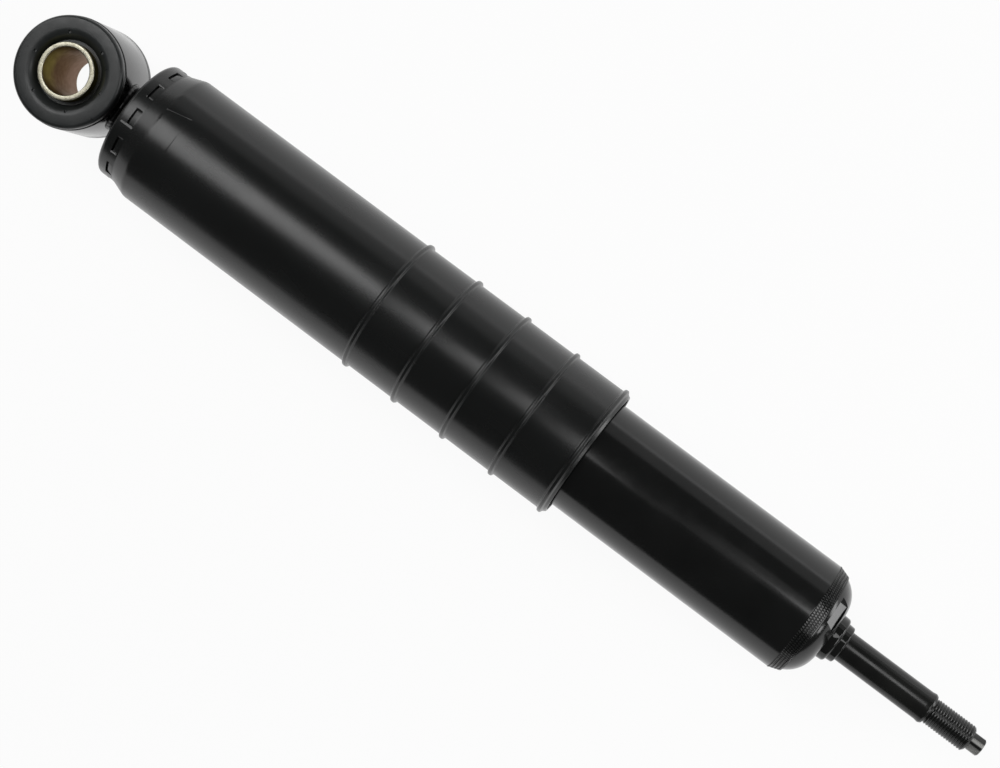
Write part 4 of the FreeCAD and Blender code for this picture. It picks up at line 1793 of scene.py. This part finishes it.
@dataclass
class StemPin:
    """Stem pin: collars, shank, relief, thread and square tip.

    Attributes:
        collar_root: Length of the large collar inside the dome.
        collar_belt: Length of the large collar beyond the dome before it narrows.
        belt_round: Round where it starts to narrow.
        collar_end: End of the large collar beyond the cap.
        step_r: Radius of the small collar.
        step_length: Length of the small collar.
        collar_draft: How far each collar narrows towards its round.
        collar_lean: How far the face of each collar leans.
        collar_round: Round on the large collar.
        step_round: Round on the small collar.
        step_fillet: Round between the two collars.
        shoulder_round: Round where the small collar's face ends.
        shoulder_fillet: Round between the small collar and the shank.
        shank_r: Radius of the shank.
        shank_length: Length of the shank.
        rim_raise: Height of the rim that the thread roller raises at the shank's end.
        rim_width: Distance of that rim from the end.
        rim_foot: Distance from the end at which the rim starts to rise, in rim widths.
        foot_round: Round where the rim starts to rise.
        rim_round: Round on the rim.
        end_round: Round on the shank's end.
        relief_r: Radius of the relief before the thread.
        relief_length: Length of the relief.
        relief_fillet: Round between the shank's end and the relief.
        thread_r: Radius over the thread's crests.
        thread_length: Length of the thread.
        thread_pitch: Pitch of the thread.
        thread_depth: Depth of the thread.
        thread_flat: Flat of a crest and of a groove, as a share of the pitch.
        thread_lead: Turns of the helix before the thread's start.
        thread_spare: Turns of the helix beyond the thread's own.
        thread_steps: Steps in a turn of the helix.
        thread_chamfer: Chamfer on the thread's ends.
        core_fit: Gap between the stem's core and the thread's grooves.
        blank_margin: How far the thread's blank stands beyond the thread.
        blank_steps: Spin steps of that blank.
        drive_r: Radius over the tip's rounded corners.
        drive_sides: Number of the tip's flats.
        drive_flats: Width of the square tip.
        drive_turn: Angle of the tip's first corner in degrees.
        drive_chamfer: Chamfer on the tip.
        drive_steps: Spin steps of the tip.
        sharp: Angle in degrees above which the pin's edges stay sharp.
    """

    collar_root: float = 5.0 * MM
    collar_belt: float = 0.6 * MM
    belt_round: float = 1.0 * MM
    collar_end: float = 4.6 * MM
    step_r: float = 10.25 * MM
    step_length: float = 3.8 * MM
    collar_draft: float = 0.25 * MM
    collar_lean: float = 0.25 * MM
    collar_round: float = 1.5 * MM
    step_round: float = 0.9 * MM
    step_fillet: float = 0.15 * MM
    shoulder_round: float = 0.3 * MM
    shoulder_fillet: float = 0.2 * MM
    shank_r: float = 8.0 * MM
    shank_length: float = 50.9 * MM
    rim_raise: float = 0.35 * MM
    rim_width: float = 1.4 * MM
    rim_foot: float = 2.5
    foot_round: float = 3.0 * MM
    rim_round: float = 0.8 * MM
    end_round: float = 0.5 * MM
    relief_r: float = 6.5 * MM
    relief_length: float = 0.9 * MM
    relief_fillet: float = 0.4 * MM
    thread_r: float = 7.0 * MM
    thread_length: float = 22.7 * MM
    thread_pitch: float = 1.5 * MM
    thread_depth: float = 0.4 * MM
    thread_flat: float = 0.125
    thread_lead: float = 1.37
    thread_spare: int = 2
    thread_steps: int = 64
    thread_chamfer: float = 1.2 * MM
    core_fit: float = 0.05 * MM
    blank_margin: float = 0.02 * MM
    blank_steps: int = 128
    drive_r: float = 4.6 * MM
    drive_sides: int = 4
    drive_flats: float = 8.5 * MM
    drive_turn: float = -9.0
    drive_chamfer: float = 0.6 * MM
    drive_steps: int = 96
    sharp: float = 30.0

    def __post_init__(self) -> None:
        """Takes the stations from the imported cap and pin."""
        low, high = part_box("mounting_pin")
        self.root = low.x
        self.end = high.x
        self.collar_r = high.z
        self.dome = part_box("bottom_cap")[1].x
        self.collar = self.dome + self.collar_end
        self.shoulder = self.collar + self.step_length
        self.shank_end = self.shoulder + self.shank_length
        self.thread = self.shank_end + self.relief_length
        self.thread_end = self.thread + self.thread_length
        self.groove_r = self.thread_r - self.thread_depth

    def build(self) -> None:
        """Builds and dresses the pin."""
        piece = self.stem()
        combine(piece, self.threaded(), Joining.FUSE)
        combine(piece, self.tip(), Joining.FUSE)
        hand_over(piece, "tube", PIN_PAINT, ["mounting_pin"], self.sharp)

    def stem(self) -> Piece:
        """Turned stem, from its root in the cap to the core of the thread.

        Returns:
            The stem.
        """
        core = self.groove_r - self.core_fit
        core_start = self.thread + self.thread_pitch
        core_end = self.thread_end - self.thread_pitch
        rim_start = self.shank_end - self.rim_foot * self.rim_width
        outline = [
            Corner(self.root, 0.0),
            Corner(self.root, self.shank_r),
            Corner(self.dome - self.collar_root, self.shank_r),
            Corner(self.dome - self.collar_root, self.collar_r),
            Corner(self.dome + self.collar_belt, self.collar_r, self.belt_round),
            Corner(self.collar - self.collar_lean, self.collar_r - self.collar_draft, self.collar_round),
            Corner(self.collar, self.step_r, self.step_fillet),
            Corner(self.shoulder - self.collar_lean, self.step_r - self.collar_draft, self.step_round),
            Corner(self.shoulder, self.shank_r + self.rim_raise, self.shoulder_round),
            Corner(self.shoulder, self.shank_r, self.shoulder_fillet),
            Corner(rim_start, self.shank_r, self.foot_round),
            Corner(self.shank_end - self.rim_width, self.shank_r + self.rim_raise, self.rim_round),
            Corner(self.shank_end, self.shank_r - self.rim_raise, self.end_round),
            Corner(self.shank_end, self.relief_r, self.relief_fillet),
            Corner(core_start, self.relief_r),
            Corner(core_start, core),
            Corner(core_end, core),
            Corner(core_end, 0.0),
        ]
        return turned("stem_pin", Spindle.DAMPER, outline)

    def threaded(self) -> Piece:
        """Threaded length: a helix of one ridge, trimmed flat and chamfered.

        Returns:
            The thread.
        """
        flat = self.thread_pitch * self.thread_flat
        half = self.thread_pitch / 2
        begin = self.thread - self.thread_lead * self.thread_pitch
        ridge = (
            (begin, self.groove_r), (begin + flat, self.groove_r), (begin + half - flat / 2, self.thread_r),
            (begin + half + flat / 2, self.thread_r), (begin + self.thread_pitch, self.groove_r),
        )
        corners = [Spindle.DAMPER.place(*corner) for corner in ridge]
        piece = single_vertex("thread", corners[0])
        for here, there in zip(corners, corners[1:]):
            extrude(there - here)
        activate(piece)
        screw = piece.modifiers.new("helix", "SCREW")
        screw.axis = "X"
        screw.angle = FULL_TURN
        screw.screw_offset = self.thread_pitch
        screw.iterations = math.ceil(self.thread_length / self.thread_pitch) + self.thread_spare
        screw.steps = screw.render_steps = self.thread_steps
        screw.use_merge_vertices = True
        bpy.ops.object.modifier_apply(modifier=screw.name)
        edit(piece)
        tidy_mesh()
        slice_off((self.thread, 0.0, 0.0), Spindle.DAMPER.value, inner=True)
        slice_off((self.thread_end, 0.0, 0.0), Spindle.DAMPER.value)
        tidy_mesh()
        combine(piece, self.thread_blank(), Joining.TRIM)
        return piece

    def thread_blank(self) -> Piece:
        """Chamfered cylinder that the thread is trimmed to.

        Returns:
            The cylinder.
        """
        start = self.thread - self.blank_margin
        end = self.thread_end + self.blank_margin
        outer = self.thread_r + self.blank_margin
        outline = [
            Corner(start, 0.0),
            Corner(start, self.groove_r),
            Corner(self.thread + self.thread_depth, outer),
            Corner(self.thread_end - self.thread_chamfer, outer),
            Corner(end, self.thread_r - self.thread_chamfer),
            Corner(end, 0.0),
        ]
        return turned("thread_blank", Spindle.DAMPER, outline, self.blank_steps)

    def tip(self) -> Piece:
        """Square tip with rounded corners.

        Returns:
            The tip.
        """
        start = self.thread_end - self.thread_chamfer
        outline = [
            Corner(start, 0.0),
            Corner(start, self.drive_r),
            Corner(self.end - self.drive_chamfer, self.drive_r),
            Corner(self.end, self.drive_r - self.drive_chamfer),
            Corner(self.end, 0.0),
        ]
        piece = turned("tip", Spindle.DAMPER, outline, self.drive_steps)
        for side in range(self.drive_sides):
            angle = math.radians((side + 0.5) * 360.0 / self.drive_sides - self.drive_turn)
            outward = Vector((0.0, math.sin(angle), math.cos(angle)))
            slice_off(outward * self.drive_flats / 2, outward)
        tidy_mesh()
        return piece


@dataclass
class StarSpring:
    """Slotted star spring that holds a check plate on its seat and flattens as the plate lifts.

    Attributes:
        node: Solid of the spring.
        body: Moving body that carries it.
        joint: Joint that lifts the plate; not used.
        bore_r: Radius of its bore.
        leaf: Thickness of its leaf across the damper.
        slot_start: Radius at which the slots start.
        slot_width: Width of a slot.
        arms: Number of its arms.
        lift: Travel of the plate; not used.
        steps: Spin steps of the spring.
    """

    node: str
    body: str
    joint: str
    bore_r: float = 13.75 * MM
    leaf: float = 0.4 * MM
    slot_start: float = 16.1 * MM
    slot_width: float = 2.6 * MM
    arms: int = 6
    lift: float = 0.8 * MM
    steps: int = 96

    def build(self) -> None:
        """Turns the cone, cuts its slots and dresses it."""
        low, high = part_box(self.node)
        outline = [
            Corner(low.x, self.bore_r),
            Corner(low.x, self.bore_r + self.leaf),
            Corner(high.x, high.y),
            Corner(high.x, high.y - self.leaf),
        ]
        piece = turned(f"{self.node}_star", Spindle.DAMPER, outline, self.steps)
        combine(piece, self.slots(low, high), Joining.CUT)
        hand_over(piece, self.body, SPRING, [self.node])
        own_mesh(piece)

    def slots(self, low: Vector, high: Vector) -> Piece:
        """Blocks that cut the slots.

        Args:
            low: Low corner of the spring.
            high: High corner of the spring.

        Returns:
            The blocks as one tool.
        """
        outside = 2 * high.y
        outline = [
            Corner(low.x - self.leaf, self.slot_start),
            Corner(high.x + self.leaf, self.slot_start),
            Corner(high.x + self.leaf, outside),
            Corner(low.x - self.leaf, outside),
        ]
        tool = block("star_slots", outline, self.slot_width)
        copy_round(Spindle.DAMPER, self.arms)
        tidy_mesh()
        return tool


@dataclass
class InnerParts:
    """Solids that stay as they are, most of them inside the tube.

    Attributes:
        finishes: Their finishes, each named like its slot.
    """

    finishes: tuple[Finish, ...] = (CHROME, STEEL, IRON, SPRING, BRONZE, BAND, BUFFER, SEAL_RUBBER)

    def build(self) -> None:
        """Paints every solid that no piece stands for."""
        by_slot = {finish.name: finish for finish in self.finishes}
        for row in frame["record"]["subparts"]:
            finish = by_slot.get(row["material_slot"])
            if finish:
                mesh = frame["nodes"][row["node"]].data
                mesh.materials.clear()
                mesh.materials.append(finish.material())
                LOG.info("%s keeps its solid in %s", row["node"], finish.name)


@dataclass(frozen=True)
class Lamp:
    """Soft box that shines at a point on the damper's axis.

    Attributes:
        name: Name of the lamp.
        place: Centre of the box.
        aim: Place of that point along the damper.
        size: Width and height.
        radiance: Brightness of its face, where 1 is white.
    """

    name: str
    place: Triple
    aim: float
    size: Span
    radiance: float

    def build(self) -> None:
        """Adds the lamp."""
        clear_selection()
        bpy.ops.object.light_add(type="AREA", location=self.place)
        lamp = bpy.context.object
        lamp.name = self.name
        lamp.data.shape = "RECTANGLE"
        lamp.data.size, lamp.data.size_y = self.size
        lamp.data.energy = self.radiance * math.pi * self.size[0] * self.size[1]
        beam = Vector((self.aim, 0.0, 0.0)) - Vector(self.place)
        lamp.rotation_euler = beam.to_track_quat("-Z", "Y").to_euler()
        lamp.visible_camera = False


LAMPS = (
    Lamp("key_eye", (-0.42, 0.28, 1.35), 0.05, (0.75, 0.55), 3.9),
    Lamp("key_middle", (0.04, 0.27, 1.4), 0.15, (0.24, 0.5), 1.85),
    Lamp("key_gap", (0.5, 0.5, 1.4), 0.4, (0.2, 0.7), 0.3),
    Lamp("key_pin", (0.82, 0.54, 1.4), 0.5, (0.32, 0.52), 3.6),
    Lamp("far_eye", (-0.95, 0.22, 0.8), 0.05, (0.5, 0.85), 2.5),
    Lamp("far_pin", (1.33, 0.25, 0.82), 0.46, (1.25, 0.34), 4.6),
    Lamp("low_pin", (1.33, 0.66, 0.12), 0.46, (0.5, 0.3), 5.0),
    Lamp("dome", (1.48, 0.02, 0.39), 0.46, (0.25, 0.17), 5.5),
    Lamp("side", (0.05, 1.15, 0.25), 0.25, (1.8, 0.7), 0.38),
)


@dataclass
class Studio:
    """White sweep, soft boxes and dim room.

    Attributes:
        lamps: Soft boxes.
        floor_centre: Place of the floor's middle along the damper.
        floor_radius: Radius of the flat floor.
        floor_sides: Sides of the floor.
        wall_height: Height of the wall that the floor curves up to.
        wall_steps: Steps in the curve up to the wall.
        room: Brightness of the room above.
        paleness: Colour of the floor where it takes light, from black to white.
        shadow: Share of the floor's look that takes shadows.
    """

    lamps: tuple[Lamp, ...] = LAMPS
    floor_centre: float = 0.25
    floor_radius: float = 5.0
    floor_sides: int = 96
    wall_height: float = 0.4
    wall_steps: int = 8
    room: float = 0.08
    paleness: float = 0.9
    shadow: float = 0.06

    def build(self) -> None:
        """Builds the floor, the lamps and the room."""
        self.sweep()
        for lamp in self.lamps:
            lamp.build()
        world = bpy.data.worlds.new("room")
        world.use_nodes = True
        background = world.node_tree.nodes["Background"]
        background.inputs["Strength"].default_value = self.room
        background.inputs["Color"].default_value = (1.0, 1.0, 1.0, 1.0)
        bpy.context.scene.world = world

    def sweep(self) -> None:
        """Round floor under the damper, curved up into a wall."""
        level = CAD_BOX[0].z
        clear_selection()
        bpy.ops.mesh.primitive_circle_add(
            vertices=self.floor_sides, radius=self.floor_radius, fill_type="NGON",
            location=(self.floor_centre, 0.0, level),
        )
        floor = bpy.context.object
        floor.name = "studio_sweep"
        bpy.ops.object.mode_set(mode="EDIT")
        pick(floor, Element.EDGES, lambda edge: edge.is_boundary)
        curve = [math.pi / 2 * step / self.wall_steps for step in range(self.wall_steps + 1)]
        for earlier, angle in zip(curve, curve[1:]):
            up = self.wall_height * (math.cos(earlier) - math.cos(angle))
            inner = self.floor_radius + self.wall_height * math.sin(earlier)
            outer = self.floor_radius + self.wall_height * math.sin(angle)
            bpy.ops.mesh.extrude_edges_move(TRANSFORM_OT_translate={"value": (0.0, 0.0, up)})
            bpy.ops.transform.resize(value=(outer / inner, outer / inner, 1.0))
        select_all()
        bpy.ops.mesh.normals_make_consistent(inside=True)
        activate(floor)
        bpy.ops.object.shade_smooth()
        floor.data.materials.append(self.white())

    def white(self) -> bpy.types.Material:
        """White of the sweep: it looks white itself and in gloss, and takes a faint shadow.

        Returns:
            The material.
        """
        shader = Shader("sweep_white")
        shader.tree.nodes.remove(shader.surface)
        rays = shader.node("ShaderNodeLightPath").outputs
        seen = rays["Is Camera Ray"]
        for name in ("Is Glossy Ray", "Is Transmission Ray"):
            seen = shader.calculate("MAXIMUM", seen, rays[name])
        share = shader.calculate("MULTIPLY", seen, 1.0 - self.shadow)
        diffuse = shader.node("ShaderNodeBsdfDiffuse")
        shader.join((self.paleness,) * 3, diffuse.inputs["Color"])
        glow = shader.node("ShaderNodeEmission")
        shader.join((1.0, 1.0, 1.0), glow.inputs["Color"])
        shader.join(1.0, glow.inputs["Strength"])
        mix = shader.node("ShaderNodeMixShader")
        for source, target in zip((share, diffuse.outputs["BSDF"], glow.outputs["Emission"]), mix.inputs):
            shader.join(source, target)
        shader.join(mix.outputs["Shader"], shader.tree.nodes["Material Output"].inputs["Surface"])
        return shader.material


@dataclass
class PhotoCamera:
    """Camera at the photograph's view, for an image of 1000 by 768.

    Attributes:
        place: Camera's place.
        slope: Angle of the damper's axis below the image's horizontal, in degrees.
        lean: Angle by which the pin end leans towards the camera, in degrees.
        roll: Angle by which the eye's bore leans from the view, about the damper, in degrees.
        lens: Focal length in millimetres.
        sensor: Width of the sensor in millimetres.
        clip: Distance from which the camera sees.
    """

    place: Triple = (365.3 * MM, 107.2 * MM, 1113.1 * MM)
    slope: float = 36.76
    lean: float = 5.3
    roll: float = 5.4
    lens: float = 82.08
    sensor: float = 36.0
    clip: float = 0.05

    def build(self) -> None:
        """Adds the camera and makes it the scene's."""
        slope, lean, roll = (math.radians(angle) for angle in (self.slope, self.lean, self.roll))
        facing = Vector((0.0, math.sin(roll), math.cos(roll)))
        along = Vector((math.cos(lean), 0.0, 0.0)) - math.sin(lean) * facing
        across = Vector((0.0, -math.cos(roll), math.sin(roll)))
        right = math.cos(slope) * along - math.sin(slope) * across
        up = -math.sin(slope) * along - math.cos(slope) * across
        data = bpy.data.cameras.new("photo_camera")
        data.lens = self.lens
        data.sensor_width = self.sensor
        data.clip_start = self.clip
        camera = bpy.data.objects.new("photo_camera", data)
        bpy.context.scene.collection.objects.link(camera)
        turn = Matrix((right, up, right.cross(up))).transposed()
        camera.matrix_world = Matrix.Translation(Vector(self.place)) @ turn.to_4x4()
        bpy.context.scene.camera = camera


def main() -> None:
    """Builds the sub-assemblies in order, then the studio and the camera."""
    logging.basicConfig(level=logging.INFO, format="%(name)s: %(message)s")
    bpy.context.scene.view_settings.view_transform = "Standard"
    InnerParts().build()
    StarSpring("piston_check_spring", "rod", "piston_check_lift").build()
    StarSpring("base_check_spring", "tube", "base_check_lift").build()
    Eye().build()
    Head().build()
    DustCover().build()
    DamperTube().build()
    BottomCap().build()
    StemPin().build()
    Studio().build()
    PhotoCamera().build()


if __name__ == "__main__":
    main()
